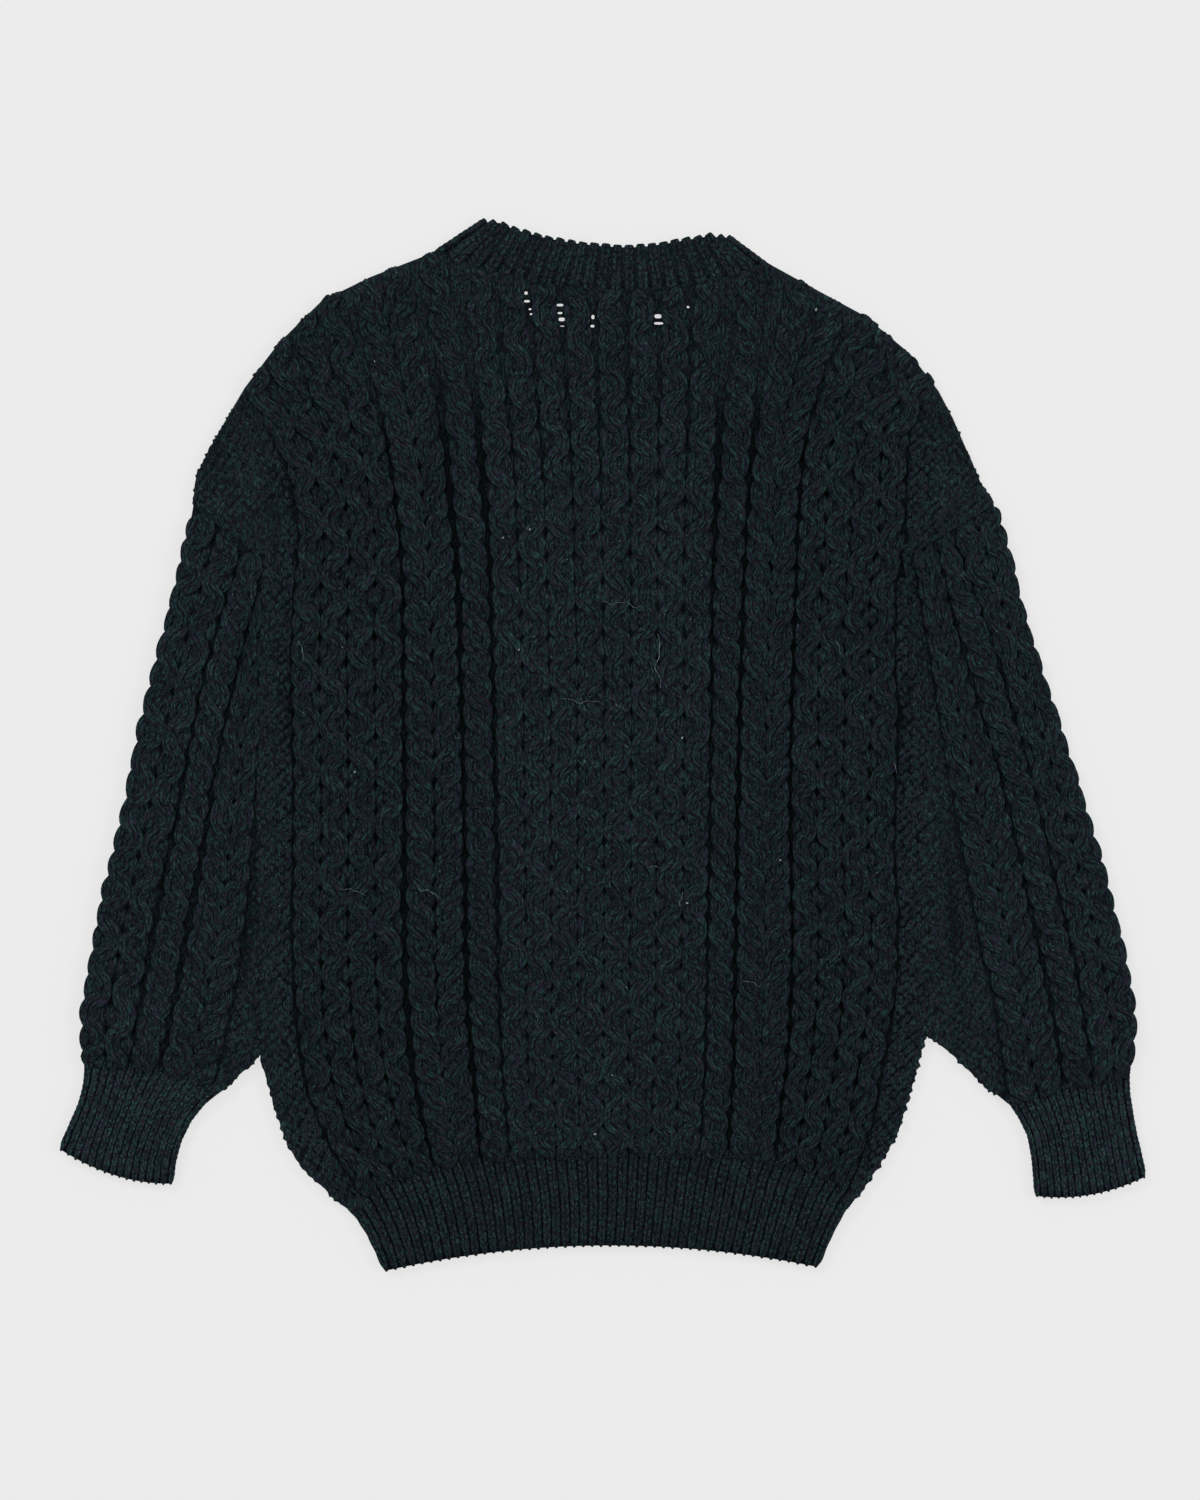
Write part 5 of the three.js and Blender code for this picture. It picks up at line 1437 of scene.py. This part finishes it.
area = sheet_area(BODY, BACK_NAMES)
print("area back", area)
area = sheet_area(BODY, FRONT_NAMES)
print("area front", area)
for tag in ("left", "right"):
    s, parts, t = sleeves[tag]
    area = 2 * sheet_area(t, SLEEVE_NAMES)
    print("area sleeve", tag, area)
for tag, flat in (("hem", (0.664, 0.075)), ("cuff_left", (0.184, 0.065)), ("cuff_right", (0.168, 0.07))):
    s, k, t = rib_pieces[tag]
    area = 2 * sheet_area(t, SLEEVE_NAMES)
    print("area", tag, area)

# ---- studio ----
floor_mesh = bpy.data.meshes.new("floor")
floor_mesh.from_pydata([(-6, -6, 0), (6, -6, 0), (6, 6, 0), (-6, 6, 0)], [], [(0, 1, 2, 3)])
floor = bpy.data.objects.new("floor", floor_mesh)
floor.location.z = -0.0002
bpy.context.scene.collection.objects.link(floor)
fm = bpy.data.materials.new("pale_floor")
fm.use_nodes = True
fs = fm.node_tree.nodes["Principled BSDF"]
fs.inputs["Base Color"].default_value = (0.16, 0.16, 0.16, 1)
fs.inputs["Roughness"].default_value = 0.9
fs.inputs["Specular IOR Level"].default_value = 0.0
fs.inputs["Emission Color"].default_value = (1, 1, 1, 1)
fs.inputs["Emission Strength"].default_value = 0.69
floor_mesh.materials.append(fm)
floor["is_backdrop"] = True

world = bpy.data.worlds.new("studio")
bpy.context.scene.world = world
world.use_nodes = True
world.node_tree.nodes["Background"].inputs["Color"].default_value = (1, 1, 1, 1)
world.node_tree.nodes["Background"].inputs["Strength"].default_value = 0.55


def lamp(name, place, size, power):
    d = bpy.data.lights.new(name, "AREA")
    d.shape, d.size, d.energy = "SQUARE", size, power
    o = bpy.data.objects.new(name, d)
    bpy.context.scene.collection.objects.link(o)
    o.location = place
    v = -np.array(place) / np.linalg.norm(place)
    from mathutils import Vector
    o.rotation_mode = "QUATERNION"
    o.rotation_quaternion = Vector(v).to_track_quat("-Z", "Y")


lamp("softbox_upper_left", (-3.6, 4.2, 5.4), 2.6, 190)
lamp("softbox_right", (5.0, 0.8, 5.0), 2.8, 120)

cam_data = bpy.data.cameras.new("camera")
cam_data.lens, cam_data.sensor_width, cam_data.sensor_fit = 100.0, 36.0, "AUTO"
cam = bpy.data.objects.new("camera", cam_data)
bpy.context.scene.collection.objects.link(cam)
cam.location = (-0.00164, -0.00489, 0.975 * 100 / 36 + 0.008)
bpy.context.scene.camera = cam
bpy.context.scene.view_settings.view_transform = "Standard"

lo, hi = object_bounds()
